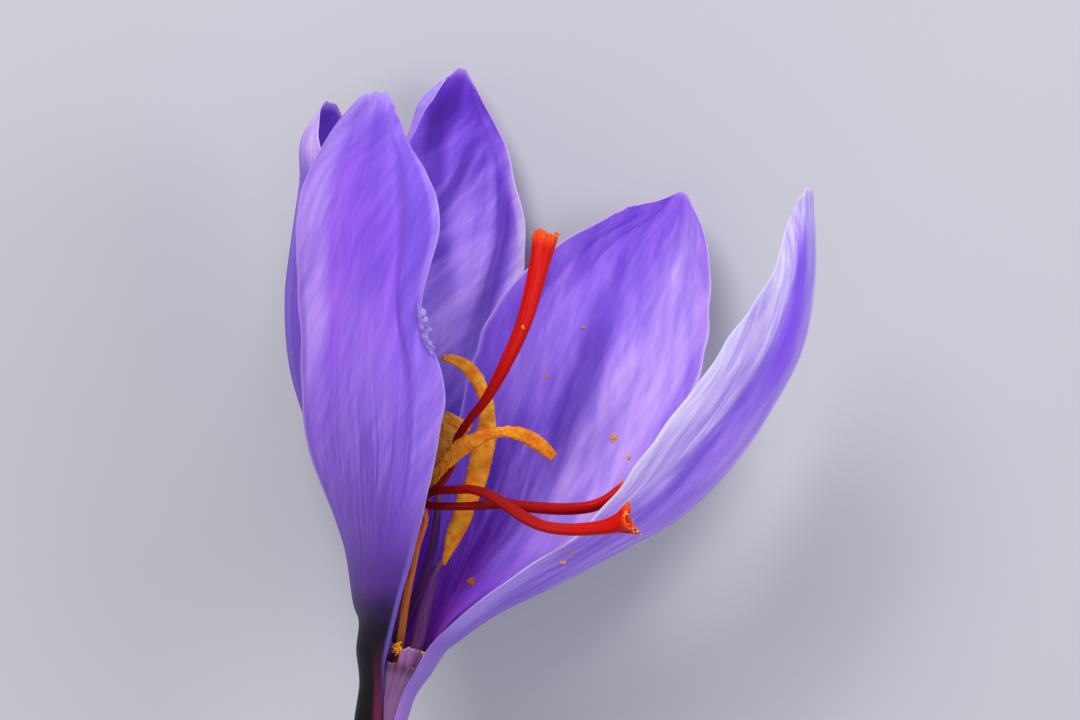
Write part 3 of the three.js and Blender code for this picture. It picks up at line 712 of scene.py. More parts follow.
tube_finish, tree, surface = new_finish("flower_tube_skin", 0.5, (0.2, 0.0006), 0.25, 0.04)
lengthwise = surface_place(tree)[1]
fine_lines = round_lines(tree, 9.0, 16.0, 3.0)
broad = round_lines(tree, 2.2, 7.0, 8.0)
last_mark = TUBE_SHADES[-1][0]
tone = shade_ramp(tree, calc(tree, "MULTIPLY", lengthwise, 1 / last_mark),
                  [(at / last_mark, code) for at, code in TUBE_SHADES])
tone = tint(tree, tone, "9c72a4", fine_lines, 0.35)
tone = tint(tree, tone, "5f3468", broad, 0.25)
dress(tree, surface, tone, fine_lines, 0.05)

torn_finish, tree, surface = new_finish("torn_tissue", 0.5, (0.25, 0.0006))
across, lengthwise = surface_place(tree)
fine_lines = noise(tree, 1.0, place=spot_at(tree, calc(tree, "MULTIPLY", across, 11.0), lengthwise))
tone = mix_shades(tree, spread(tree, fine_lines, 0.3, 0.7), shade("7a4080"), shade("9c6a9c"))
tone = tint_along(tree, tone, "4c1440", 0.5, 0.3, 0.8)
tone = tint_along(tree, tone, "b484ac", 0.9, 1.0, 0.5)
dress(tree, surface, tone, fine_lines, 0.03)

tube = make_piece("bloom_tube", [tube_shell, stub_shell], [tube_finish, torn_finish])
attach(tube, "root")
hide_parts("flower_tube")

# The papery sheaths: two dry skins, one inside the other, that wrap the tube from the neck up.
# They are creamy white, brown at the torn tips, and carry fine veins along their length.
SHEATHS = {
    "paper_sheath_inner": ("sheath_inner", TUBE_HALF + GAP, 60.0, 0.0, 3),
    "paper_sheath_outer": ("sheath_outer", TUBE_HALF + 2 * GAP + 0.7, 36.0, 1.0, 4),
}
SHEATH_HALF_CAD = 0.3
SHEATH_HALF = 0.11
SHEATH_JAGS = (9, 14, 22, 31, 47)
SHEATH_CREASES = ((5, 21), (8, -17), (3, 33), (11, 9))
SHEATH_GRID = (130, 126)

sheath_finish, tree, surface = new_finish("dry_sheath", 0.62, (0.2, 0.0008), sheen=0.1)
veins = round_lines(tree, 11.0, 3.0, 5.0)
hair_lines = round_lines(tree, 34.0, 6.0, 1.0)
blotch = spread(tree, noise(tree, 180.0, 4.0), 0.38, 0.72)
tone = mix_shades(tree, veins, shade("efe7d2"), shade("d9c8a2"))
tone = tint(tree, tone, "b99a68", hair_lines, 0.4)
tone = tint(tree, tone, "c9b083", blotch, 0.4)
tone = tint_along(tree, tone, "9a6a38", 0.82, 1.0, 0.75)
tone = tint_along(tree, tone, "9c7444", 0.2, 0.0, 0.45)
rise = calc(tree, "ADD", calc(tree, "MULTIPLY", veins, 0.6), calc(tree, "MULTIPLY", hair_lines, 0.4))
dress(tree, surface, tone, rise, 0.08)

for name, (solid_name, inner, end, shift, seed) in SHEATHS.items():
    draw = np.random.default_rng(seed)
    t = np.linspace(0, 1, SHEATH_GRID[0])[:, None]
    angle = 2 * np.pi * np.arange(SHEATH_GRID[1])[None, :] / SHEATH_GRID[1]
    jags = sum(draw.uniform(0.3, 1) * np.sin(count * angle + draw.uniform(*ANY_TURN))
               for count in SHEATH_JAGS)
    end_at = end * (1 - 0.12 * (1 + np.cos(angle - 0.9)) * t) + 0.5 * t * np.sin(5 * angle)
    end_at = end_at + 0.32 * jags * smoothstep(t, 0.9, 1.0)
    y = TUBE_START + (end_at - TUBE_START) * t
    loose = 0.35 * smoothstep(t, 0.5, 1) + 0.08 * np.sin(7 * angle) * t
    veins_up = 0.03 * np.sin(26 * angle + shift) + 0.02 * np.sin(41 * angle + 3 * t)
    creases = sum(0.035 * np.sin(count * angle + rise * t + draw.uniform(*ANY_TURN))
                  for count, rise in SHEATH_CREASES)
    radius = inner + SHEATH_HALF_CAD + np.maximum(loose, 0) + veins_up + creases * smoothstep(t, 0, 0.2)
    ring = np.stack([radius * np.cos(angle), np.zeros_like(radius), -radius * np.sin(angle)], -1)
    thin = SHEATH_HALF * (1 - 0.55 * smoothstep(t, 0.85, 1)) * np.ones_like(angle)
    sheath = make_piece(name, [blade(tube_line(y) + ring, thin, around=True)], [sheath_finish])
    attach(sheath, "root")
    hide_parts(solid_name)

# The outer tepals: three thin silky petal leaves grown out of the rim of the tube, which run down
# it as low ridges. They are violet with fine lengthwise veins, dark at the foot and pale at the edge.
OUTER_RING = 2.65
TEPAL_LIFT = 0.45
TEPAL_LENGTH = 43.0
RIDGE_OUT = 0.05
RIDGE_CROWN = 0.12
RIDGE_SINK = 0.36
MARGIN_THINNED = 0.68
TIP_THINNED = 0.6
TEPAL_HALF = 0.13
TIP_ROUND = 0.014
TEPAL_ROWS = 184
TEPAL_COLUMNS = 108
CURL_COLUMNS = 30
CURL_HALF = 0.08
CURL_TURN = 0.92
CURL_SIZES = ([0, 0.2, 0.5, 0.62, 1], [0.03, 0.5, 0.95, 0.95, 0.14])
TATTER_GRID = (30, 16)
TATTER_HALF = 0.05
THROAT_LEAN = math.radians(16.5)
THROAT_AXIS = np.array([math.sin(THROAT_LEAN), math.cos(THROAT_LEAN), 0])
THROAT_SIDE = np.array([math.cos(THROAT_LEAN), -math.sin(THROAT_LEAN), 0])


def rim(degrees, radius, lift):
    """A point round the throat, from straight up (+Z) to the right (+X), at a height along its axis"""
    angle = math.radians(degrees)
    return (THROAT + THROAT_SIDE * radius * math.sin(angle) + UP * radius * math.cos(angle)
            + THROAT_AXIS * lift)


def place(point):
    """A flower point measured from straight above: x and y as seen, z over the throat"""
    x, y, z = point
    scale = 1 - z / EYE_HEIGHT
    return np.array([FLOWER_MIDDLE[0] + (x - FLOWER_MIDDLE[0]) * scale,
                     FLOWER_MIDDLE[1] + (y - FLOWER_MIDDLE[1]) * scale, THROAT[2] + z])


def across_three(s, left, mid, right):
    """A smooth change from left (s = -1) through mid to right (s = 1)"""
    return left * s * (s - 1) / 2 + mid * (1 - s * s) + right * s * (s + 1) / 2


def tepal_surface(tepal):
    """The points of a tepal's middle surface, and how far along it each row lies"""
    draw = np.random.default_rng(tepal["seed"])
    swell = tepal.get("swell", 0)
    starts = [rim(angle, tepal["ring"] + swell, TEPAL_LIFT) for angle in tepal["angles"]]
    lines = [along([start, *map(place, tepal[side])])
             for start, side in zip(starts, ("left", "mid", "right"))]
    rows = np.linspace(-tepal["foot"], 1, TEPAL_ROWS)
    v = np.linspace(0, 1, TEPAL_COLUMNS)
    u, v = np.meshgrid(rows, v, indexing="ij")
    s = 2 * v - 1
    jags = [(draw.uniform(14, 90), draw.uniform(*ANY_TURN), draw.uniform(0.2, 1)) for _ in range(9)]
    ragged = sum(size * np.sin(rate * u + start + 2.0 * np.sign(s)) for rate, start, size in jags)
    s = s * (1 + tepal["ragged"] * ragged * smoothstep(np.abs(s), 0.88, 1) * smoothstep(u, 0.1, 0.4))
    for side, middle, half, depth in tepal.get("tears", []):
        torn = np.exp(-(((u - middle) / half) ** 2)) * (1 + 0.5 * np.sin(330 * u) * np.sin(170 * u))
        s = s - side * depth * torn * smoothstep(side * s, 0.6, 1)
    tip_jags = [(draw.uniform(3, 14), draw.uniform(*ANY_TURN), draw.uniform(0.2, 1)) for _ in range(6)]
    tip = tepal["tip_ragged"] * sum(size * np.sin(rate * v + start) for rate, start, size in tip_jags)
    tip = tip + sum(high * np.exp(-(((v - across) / reach) ** 2)) for across, reach, high in tepal["peaks"])
    t = np.maximum(u, 0) + (tip - TIP_ROUND * s**2) * smoothstep(u, 0.9, 1.0)
    left, mid, right = (line(np.clip(t, 0, 1.02)) for line in lines)
    blooming = across_three(s[..., None], left, mid, right)
    down = np.clip(-u / tepal["foot"], 0, 1)
    rim_turn = across_three(s, *tepal["angles"])
    foot_turn = across_three(s, *tepal["foot_angles"])
    turn = rim_turn + (foot_turn - rim_turn) * smoothstep(down, 0, 0.9)
    if tepal["ring"] == OUTER_RING:
        y = TUBE_TOP + TEPAL_LENGTH * u
        out = RIDGE_OUT + RIDGE_CROWN * (1 - s * s) - RIDGE_SINK * smoothstep(down, 0.55, 1.0)
        out = out + swell * np.exp(-(((u - 0.01) / 0.065) ** 2))
        spreading = 0.3 * np.maximum(y - TUBE_TOP, 0)
        grown = round_tube(y, turn, tube_half(np.minimum(y, TUBE_TOP)) + spreading + out)
        opened = smoothstep(u, -0.02, 0.1)
    else:
        y = TUBE_TOP + TEPAL_LIFT + TEPAL_LENGTH * u
        grown = round_tube(y, turn, np.clip(tepal["ring"] + 12 * u, 0.8, 3))
        opened = smoothstep(u, -0.01, 0.03)
    points = grown + (blooming - grown) * opened[..., None]
    opened = smoothstep(t, 0.15, 0.5)
    settle = 1 - smoothstep(t, 0.86, 0.99)
    lane = 0.5 + (v - 0.5) * (1 - 0.5 * smoothstep(t, 0.6, 1.0))
    waves, wave_size = tepal["waves"]
    rise = wave_size * opened * settle * s**4 * np.sin(2 * np.pi * waves * t + np.where(s > 0, 1.3, 0))
    for count, slant, depth, start in tepal["ripples"]:
        rise = rise + (depth * smoothstep(t, start, start + 0.3) * (0.25 + 0.75 * settle)
                       * np.sin(2 * np.pi * (count * lane + slant * t)))
    for across, reach, depth, start, end in tepal["folds"]:
        length = smoothstep(t, start, start + 0.2) * (1 - smoothstep(t, end - 0.2, end)) * settle
        rise = rise - depth * length * np.exp(-(((s - across) / reach) ** 2))
    veins = 0
    for count in np.linspace(0.45, 1.25, 7) * tepal["veins"]:
        start, rate, sway = draw.uniform(*ANY_TURN), draw.uniform(4, 11), draw.uniform(*ANY_TURN)
        veins = veins + np.sin(2 * np.pi * count * lane + start + 1.1 * np.sin(rate * t + sway)) / 3
    rise = rise + tepal["vein_height"] * veins * smoothstep(u, 0.0, 0.25) * settle
    frill_rate = [(draw.uniform(24, 60), draw.uniform(*ANY_TURN)) for _ in range(4)]
    frill = sum(np.sin(rate * t + start + 1.7 * np.sign(s)) for rate, start in frill_rate)
    rise = rise + tepal["frill"] * frill * smoothstep(np.abs(s), 0.78, 1.0) * opened * settle
    return points + facing(points) * rise[..., None], rows


def thin_edges(rows):
    """Half the thickness of a tepal: thinner toward its margins and its tip"""
    s = np.abs(2 * np.linspace(0, 1, TEPAL_COLUMNS) - 1)[None, :]
    thin = 1 - MARGIN_THINNED * smoothstep(s, 0.7, 1)
    return TEPAL_HALF * (thin * (1 - TIP_THINNED * smoothstep(rows, 0.9, 1))[:, None])


# Streaks that run the length of a tepal and fan out with it
tree, given, result = new_group(
    "tepal_streaks", {"Across": 0.5, "Along": 0.5, "Lines": 20.0, "Stretch": 2.0, "Slant": 0.0, "Seed": 0.0},
    ["Streaks"])
cloud = noise(tree, 3.0, 2.0, place=spot_at(tree, given["Across"], given["Along"], given["Seed"]))
closing = spread(tree, given["Along"], 0.6, 1.0, 1.0, 0.45)
lane = calc(tree, "MULTIPLY", calc(tree, "SUBTRACT", given["Across"], 0.5), closing)
lane = calc(tree, "SUBTRACT", lane, calc(tree, "MULTIPLY", given["Along"], given["Slant"]))
over = calc(tree, "MULTIPLY", calc(tree, "MULTIPLY_ADD", cloud, 0.16, lane), given["Lines"])
far = calc(tree, "MULTIPLY", given["Along"], given["Stretch"])
cloud = noise(tree, 1.0, 3.0, 0.6, spot_at(tree, over, far, given["Seed"]))
connect(tree, spread(tree, cloud, 0.3, 0.7), result["Streaks"])
tepal_streaks = tree

# A soft band of colour from one place on a tepal to another, plain or broken up into streaks
tree, given, result = new_group(
    "tepal_band", {"Across": 0.5, "Along": 0.5, "Streaks": 1.0, "Centre": 0.5, "Slant": 0.0, "Half": 0.1,
                   "From": 0.0, "To": 1.0, "Soft": 0.06, "Streaky": 0.0, "Strength": 1.0}, ["Share"])
centre = calc(tree, "MULTIPLY_ADD", given["Along"], given["Slant"], given["Centre"])
away = calc(tree, "ABSOLUTE", calc(tree, "SUBTRACT", given["Across"], centre))
side = spread(tree, calc(tree, "DIVIDE", away, given["Half"]), 0.25, 1.0, 1.0, 0.0)
low, high = (spread(tree, given["Along"], calc(tree, "SUBTRACT", given[end], given["Soft"]),
                    calc(tree, "ADD", given[end], given["Soft"]), *shares)
             for end, shares in (("From", (0.0, 1.0)), ("To", (1.0, 0.0))))
plain = calc(tree, "SUBTRACT", 1.0, given["Streaky"])
broken = calc(tree, "MULTIPLY_ADD", given["Streaks"], given["Streaky"], plain)
share = calc(tree, "MULTIPLY", calc(tree, "MULTIPLY", side, broken), given["Strength"])
connect(tree, calc(tree, "MULTIPLY", share, calc(tree, "MULTIPLY", low, high)), result["Share"])
tepal_band = tree

FOOT_SPAN = 0.2
LIT_STROKE = "dad2d4"
TEPAL_ROUGHNESS = (0.48, 0.16)
STREAK_SEED_STEP = 7.3
# Streaks by size: how many lines, their stretch, and how much of the tepal's slant they take
STREAK_SIZES = {"coarse": (11.0, 1.8, 0.4), "fine": (50.0, 4.4, 0.1), "hair": (110.0, 8.0, 0.0),
                "brush": (8.0, 5.0, 1.0), "small brush": (21.0, 11.0, 0.8)}
# Brush strokes: how far each size darkens the veins and lights up what lies between them
STROKES = (("brush", 0.34, 0.7), ("small brush", 0.22, 0.5), ("fine", 0.12, 0.2))


def tepal_finish(name, ramp_shades, bands, seed, vein_tone, edge_tone, slant=0.0):
    """The silky skin of one face of a tepal. ramp_shades run from the foot to the tip; each band is
    a tone, its strength, where it starts and ends (across, along), its half width and how streaky.
    slant turns the soft brush strokes off the veins."""
    finish, tree, surface = new_finish(name, flesh=(0.4, 0.001), shine=0.13, sheen=0.02)
    surface.inputs["Subsurface Radius"].default_value = (0.8, 0.5, 1.0)
    across, lengthwise = surface_place(tree)
    streaks = {}
    for k, (size, (lines, stretch, lean)) in enumerate(STREAK_SIZES.items()):
        streaks[size] = use_group(tree, tepal_streaks, {
            "Across": across, "Along": lengthwise, "Lines": lines, "Stretch": stretch,
            "Slant": lean * slant, "Seed": seed + STREAK_SEED_STEP * k})["Streaks"]
    at = calc(tree, "DIVIDE", calc(tree, "ADD", lengthwise, FOOT_SPAN), 1 + FOOT_SPAN)
    stops = [((where + FOOT_SPAN) / (1 + FOOT_SPAN), code) for where, code in ramp_shades]
    tone = shade_ramp(tree, at, stops, "EASE")
    above_foot = spread(tree, lengthwise, 0.05, 0.3)
    broad = calc(tree, "MULTIPLY", streaks["coarse"], 0.14)
    tone = mix_shades(tree, calc(tree, "MULTIPLY", broad, above_foot), tone, shade(vein_tone))
    for code, strength, start, end, half, streaky, size in bands:
        lean = (end[0] - start[0]) / (end[1] - start[1])
        share = use_group(tree, tepal_band, {
            "Across": across, "Along": lengthwise, "Streaks": streaks[size],
            "Centre": start[0] - lean * start[1], "Slant": lean, "Half": half, "From": start[1],
            "To": end[1], "Streaky": streaky, "Strength": strength,
            "Soft": min(0.07, (end[1] - start[1]) * 0.45)})["Share"]
        tone = mix_shades(tree, share, tone, shade(code))
    for size, dark, light in STROKES:
        under = calc(tree, "MULTIPLY", calc(tree, "MULTIPLY", streaks[size], dark), above_foot)
        tone = mix_shades(tree, under, tone, shade(vein_tone))
        over = calc(tree, "MULTIPLY_ADD", streaks[size], -light, light)
        tone = mix_shades(tree, calc(tree, "MULTIPLY", over, above_foot), tone, shade(LIT_STROKE),
                          "SOFT_LIGHT")
    off_middle = calc(tree, "ABSOLUTE", calc(tree, "MULTIPLY_ADD", across, 2.0, -1.0))
    margin = calc(tree, "MULTIPLY", spread(tree, off_middle, 0.955, 1.0, 0.0, 0.6),
                  spread(tree, lengthwise, 0.1, 0.35))
    tone = mix_shades(tree, margin, tone, shade(edge_tone))
    tone = tint_along(tree, tone, edge_tone, 0.975, 1.0, 0.35)
    low, added = TEPAL_ROUGHNESS
    connect(tree, calc(tree, "MULTIPLY_ADD", streaks["fine"], added, low), surface.inputs["Roughness"])
    rise = calc(tree, "ADD", calc(tree, "MULTIPLY", streaks["fine"], 0.3),
                calc(tree, "MULTIPLY", streaks["hair"], 0.2))
    rise = calc(tree, "SUBTRACT", rise, calc(tree, "MULTIPLY", streaks["small brush"], 0.5))
    dress(tree, surface, tone, rise, 0.06, 0.6)
    return finish


# Plain faces: the outer one with its band and vein tone, and the tones of the inner one
PLAIN_OUTER = ([(-0.2, "2a1c38"), (0.0, "4a2f68"), (0.2, "7452ae"), (0.5, "8d6bd8"), (0.8, "9a7ae8"),
                (1.0, "a68fee")], [("7b58c8", 0.6, (0.5, 0.1), (0.5, 0.9), 0.5, 0.9, "coarse")], "6a48b4")
PLAIN_INNER = [(-0.2, "3a0c4a"), (0.0, "5a1e76"), (0.14, "7434b4"), (0.4, "8c66e0"), (0.8, "8f6ce6"),
               (1.0, "8060da")]

outer_tepals = {
    "outer_tepal_left": {
        "solid": "tepal_outer_left", "slot": "tepal_outer", "seed": 21, "ring": OUTER_RING,
        "angles": (-112, -60, -14), "foot": 0.19, "foot_angles": (-120, -48, 20), "swell": 0.25,
        "left": [
            [-0.1, 80.6, -1.2], [-0.8, 85, -1], [-2.15, 88.8, -0.6], [-3.6, 93.3, 0], [-4.2, 98.6, 0.5],
            [-4.6, 105, 0.8], [-4.6, 109.4, 1.2], [-4.2, 113.8, 1.8], [-2.75, 117.3, 2.8],
            [-0.25, 120.6, 4.2],
        ],
        "mid": [
            [1.3, 80.6, 3.6], [1.7, 85, 5.4], [1.6, 89.1, 6.9], [1.3, 93.8, 8.1], [1, 99.4, 9],
            [0.9, 105, 9.4], [0.9, 110.4, 9.3], [1, 115.2, 8.7], [1.2, 118.6, 7.8], [1.3, 121.6, 6.6],
        ],
        "right": [
            [3.5, 80.5, 4.6], [4.7, 84.8, 6.3], [5.7, 89.1, 7.6], [6.6, 93.8, 8.9], [7.2, 98.3, 10],
            [5.3, 104.5, 10.6], [6.7, 111, 10.6], [5.8, 115, 9.8], [4.0, 118.2, 8.6], [2.9, 121.3, 7.2],
        ],
        "folds": [(0.52, 0.09, 0.2, 0.25, 1.0), (0.42, 0.16, 0.12, 0.35, 0.9)],
        "ripples": [(2.0, 0.6, 0.08, 0.25)],
        "waves": (3, 0.2), "ragged": 0.0035, "tip_ragged": 0.004, "veins": 22, "vein_height": 0.007,
        "frill": 0.012, "tears": [(1, 0.565, 0.022, 0.06), (1, 0.962, 0.01, 0.09)],
        "peaks": [(0.88, 0.1, 0.022), (0.5, 0.07, -0.008)],
        "tatters": [(0.545, 0.566, 0.55, 0.5, -0.6), (0.556, 0.582, 0.85, 0.3, 0.3),
                    (0.566, 0.592, 0.45, 0.8, 0.6), (0.582, 0.602, 0.4, 0.35, -0.3)],
        # The near-black foot is partly the tissue's own dark purple and partly painted shade.
        "seen": ([(-0.2, "775079"), (-0.165, "3c2442"), (-0.13, "0e070f"), (0.0, "110a14"),
                  (0.04, "180e20"), (0.09, "2c1840"), (0.15, "4c2a74"), (0.26, "6c4aa2"), (0.4, "8a64cc"),
                  (0.55, "8e5edc"), (0.68, "8a59e0"), (0.8, "8860dc"), (0.92, "8062d0"), (1.0, "927ede")],
                 # The first band is a painted highlight down the left side, which faces the upper left lamp.
                 [("bb9bfb", 0.8, (0.08, 0.5), (0.16, 0.94), 0.17, 0.3, "fine"),
                  ("6e48b8", 0.7, (0.02, 0.3), (0.02, 0.62), 0.05, 0.0, "fine"),
                  ("9e82ec", 0.6, (0.93, 0.3), (0.9, 0.62), 0.17, 0.2, "fine"),
                  # Painted shade: this band darkens the right flap beyond the crease, which turns from the
                  # light, and the next one darkens the crease itself.
                  ("5f49bc", 0.8, (0.87, 0.54), (0.84, 0.86), 0.17, 0.2, "brush"),
                  ("5a36a0", 0.5, (0.79, 0.3), (0.735, 0.82), 0.045, 0.0, "fine"),
                  ("a491f7", 0.7, (0.985, 0.62), (0.97, 0.84), 0.05, 0.2, "fine"),
                  ("9a58f0", 0.6, (0.26, 0.5), (0.4, 0.86), 0.22, 0.8, "brush"),
                  ("6440bc", 0.75, (0.5, 0.76), (0.68, 0.95), 0.15, 0.5, "brush"),
                  ("7348c8", 0.6, (0.5, 0.55), (0.6, 0.86), 0.2, 0.9, "brush"),
                  ("a488ee", 0.5, (0.6, 0.3), (0.5, 0.6), 0.3, 0.9, "brush"),
                  ("4a2a80", 0.65, (0.45, 0.16), (0.5, 0.44), 0.5, 1.0, "fine"),
                  ("6a1e40", 0.85, (0.88, -0.19), (0.88, -0.02), 0.13, 0.1, "fine"),
                  ("5c4aa6", 0.7, (0.985, -0.04), (0.985, 0.1), 0.06, 0.0, "fine"),
                  ("8270c8", 0.6, (0.965, 0.05), (0.97, 0.27), 0.06, 0.2, "fine")],
                 "6c44bc", "b7a2f6", 2.1),
        "hidden": (PLAIN_INNER, [("6a38c0", 0.6, (0.5, 0.3), (0.5, 0.95), 0.5, 0.9, "coarse")],
                   "5c2ca8", "b7a2f6"),
    },
    "outer_tepal_back": {
        "solid": "tepal_outer_back", "slot": "tepal_inside", "seed": 22, "ring": OUTER_RING,
        "angles": (-128, -175, -220), "foot": 0.19, "foot_angles": (-128, -178, -228),
        "left": [
            [0.7, 81, -3], [0.4, 85.4, -4.4], [-0.1, 89.8, -6.2], [-0.7, 95.2, -8.5],
            [-0.9, 101, -10.8], [-0.3, 107.3, -12.3], [1.2, 112.8, -12.9], [3.75, 117.3, -12.7],
            [5.25, 120.9, -12.8], [7.8, 123.2, -13.9],
        ],
        "mid": [
            [3.4, 81, -4.7], [3.9, 85.4, -6.8], [4.5, 89.9, -9], [5.1, 95, -11.4], [5.8, 100.2, -13.6],
            [6.5, 105.4, -15.2], [7.3, 110.7, -15.9], [7.8, 115.8, -15.8], [8.2, 119.8, -15.2],
            [8.6, 123.4, -14.2],
        ],
        "right": [
            [6.1, 80.7, -4.4], [7.2, 85, -6.3], [8.8, 89.6, -8.7], [10.6, 94.6, -10.9],
            [12, 100, -12.6], [13.2, 105.1, -13.6], [13.7, 110.1, -13.8], [12.6, 115.4, -13.7],
            [11, 119.2, -13.8], [9.5, 122.4, -13.8],
        ],
        "folds": [(0.05, 0.16, 0.14, 0.4, 1.05), (0.7, 0.12, 0.14, 0.5, 0.95), (-0.3, 0.05, 0.08, 0.5, 0.97),
                  (0.34, 0.045, 0.07, 0.45, 0.95)],
        "ripples": [(2.4, -2.4, 0.12, 0.5)],
        "waves": (3, 0.2), "ragged": 0.004, "tip_ragged": 0.002, "veins": 20, "vein_height": 0.007,
        "frill": 0.02, "peaks": [(0.62, 0.2, 0.006)], "curls": [(0.78, 0.997, 0.27, 0.34)],
        # The tones are painted lighter than the tissue's own, to make up for the light this tepal misses
        # lying deep behind the others.
        "seen": ([(-0.2, "3a1848"), (0.0, "9a62b4"), (0.035, "9450ac"), (0.08, "8a34b8"),
                  (0.2, "8848d0"), (0.38, "9c7af2"), (0.55, "b496fc"), (0.7, "ac8efa"),
                  (0.83, "8c64e4"), (0.94, "6a42c6"), (1.0, "6c4ad0")],
                 # Painted shadow and shade: these three bands darken the left side under the edge of the
                 # left outer tepal, and the tip.
                 [("3a167e", 0.88, (0.5, 0.6), (0.2, 0.93), 0.18, 0.3, "brush"),
                  ("300c68", 0.95, (0.28, 0.84), (0.48, 1.0), 0.24, 0.3, "brush"),
                  ("30127a", 0.9, (0.34, 0.68), (0.7, 0.85), 0.09, 0.2, "brush"),
                  ("6a44c0", 0.5, (0.94, 0.66), (0.9, 0.78), 0.06, 0.2, "fine"),
                  # Painted shade in the valleys of the ripples, in this band and the next.
                  ("4a2a96", 0.6, (0.55, 0.74), (0.84, 0.84), 0.06, 0.4, "brush"),
                  ("5634a4", 0.25, (0.66, 0.71), (0.9, 0.8), 0.05, 0.4, "brush"),
                  # Painted shadow cast by the edge of the right inner tepal.
                  ("452688", 0.9, (0.76, 0.52), (0.9, 0.78), 0.1, 0.15, "fine"),
                  # Painted highlights: this band on the right half, and the two after it along the right
                  # margin.
                  ("b294fa", 0.6, (0.74, 0.62), (0.84, 0.82), 0.05, 0.3, "fine"),
                  ("f2d8ff", 1.0, (1.0, 0.5), (1.0, 0.66), 0.11, 0.1, "fine"),
                  ("e6c8fa", 0.9, (1.0, 0.6), (1.0, 0.8), 0.06, 0.1, "fine"),
                  ("9d80ee", 0.5, (0.97, 0.76), (0.9, 0.93), 0.07, 0.2, "fine"),
                  ("7a48d0", 0.6, (0.45, 0.1), (0.5, 0.35), 0.3, 0.9, "fine")],
                 "6236bc", "cdb4f6", 3.4),
        "hidden": (*PLAIN_OUTER, "dcc4f8"),
    },
    "outer_tepal_right": {
        "solid": "tepal_outer_right", "slot": "tepal_pale", "seed": 23, "ring": OUTER_RING,
        "angles": (38, 88, 138), "foot": 0.19, "foot_angles": (32, 84, 138),
        "left": [
            [7.1, 78.4, 3.6], [10, 80.9, 5.2], [13.8, 83.6, 6.6], [17.8, 86.3, 7.8], [21.4, 90.2, 8.6],
            [24.5, 94.6, 9.2], [27.8, 99, 9.6], [30.9, 103.2, 9.6], [33.3, 107.1, 9.2],
            [34.6, 110.9, 8.6], [35.8, 113.8, 7.8],
        ],
        "mid": [
            [8, 77.6, 1.2], [11.4, 80, 2.2], [15.8, 82.2, 3], [21.1, 85, 3.6], [26, 87.8, 4],
            [30.1, 91.9, 4.2], [33.3, 96.6, 4.4], [35.6, 101.1, 4.8], [36.6, 106.1, 5.2],
            [36.7, 110.1, 5.6], [36.3, 113.8, 6.6],
        ],
        "right": [
            [7.3, 77.8, -1.8], [10.5, 80.1, -2], [14.6, 82.3, -2.4], [19.6, 85.1, -3],
            [24.1, 88.3, -3.4], [28.1, 92.6, -3.6], [31.4, 97.5, -3.2], [34, 102, -2.4],
            [35.6, 106.5, -0.8], [36.1, 110.4, 1.2], [36.8, 113.2, 5.4],
        ],
        "folds": [(-0.45, 0.2, 0.15, 0.3, 0.98), (-0.72, 0.08, 0.1, 0.3, 1.0),
                  (-0.58, 0.03, 0.05, 0.35, 0.97), (-0.2, 0.04, 0.06, 0.2, 0.9),
                  (-0.86, 0.035, 0.05, 0.4, 0.96)],
        "ripples": [(2.6, 0.3, 0.08, 0.25)],
        "waves": (4, 0.15), "ragged": 0.006, "tip_ragged": 0.006, "veins": 24, "vein_height": 0.012,
        "frill": 0.02, "peaks": [(0.2, 0.16, 0.012), (0.6, 0.12, 0.006)],
        "seen": ([(-0.2, "9468b0"), (0.0, "8a6cbe"), (0.1, "8868c0"), (0.3, "8a6cd0"),
                  (0.5, "9674de"), (0.7, "9e82e4"), (0.9, "a898e0"), (1.0, "b4a8e2")],
                 [("ab98ea", 0.8, (0.08, 0.1), (0.06, 0.52), 0.2, 0.3, "fine"),
                  # The silvery near half, in this band, the next and the white streaks three lines down, is
                  # partly the outer skin's own pale tone and partly a painted sheen.
                  ("d0c6f2", 0.85, (0.03, 0.42), (0.1, 0.86), 0.15, 0.3, "brush"),
                  ("c6bcec", 0.7, (0.12, 0.8), (0.2, 1.0), 0.3, 0.4, "brush"),
                  ("7656cc", 0.75, (0.12, 0.3), (0.14, 1.0), 0.22, 1.0, "hair"),
                  ("f2ecfc", 0.8, (0.08, 0.46), (0.1, 1.0), 0.16, 1.0, "fine"),
                  ("c2b0f0", 0.6, (0.52, 0.25), (0.42, 0.74), 0.13, 0.4, "fine"),
                  ("7040dc", 0.95, (0.37, 0.64), (0.2, 0.91), 0.11, 0.15, "fine"),
                  ("6a48c4", 0.6, (0.2, 0.22), (0.24, 0.66), 0.16, 1.0, "small brush"),
                  ("a98eee", 0.6, (0.34, 0.3), (0.3, 0.62), 0.08, 0.8, "fine"),
                  # Painted rim light: a thin pale line along the far side of the tepal.
                  ("eadcf8", 0.7, (0.6, 0.42), (0.51, 0.97), 0.06, 0.5, "hair"),
                  ("7a5ac8", 0.5, (0.46, 0.5), (0.4, 0.8), 0.08, 0.5, "fine"),
                  ("cabef2", 0.7, (0.4, 0.9), (0.4, 1.0), 0.2, 0.8, "fine"),
                  ("6c4cb4", 0.5, (0.6, 0.02), (0.6, 0.5), 0.14, 0.4, "fine")],
                 "7450c4", "e2d8f6", 0.5),
        "hidden": (PLAIN_INNER, [("9a7aec", 0.7, (0.5, 0.4), (0.5, 0.98), 0.5, 0.8, "coarse")],
                   "6236b8", "e2d6f8"),
    },
}


def in_lane(shell, start, wide):
    """Gives a strip the markings of a narrow lane of its tepal"""
    shell["faces"] = [(ids, places * [wide, 1] + [start, 0], finish)
                      for ids, places, finish in shell["faces"]]
    return shell


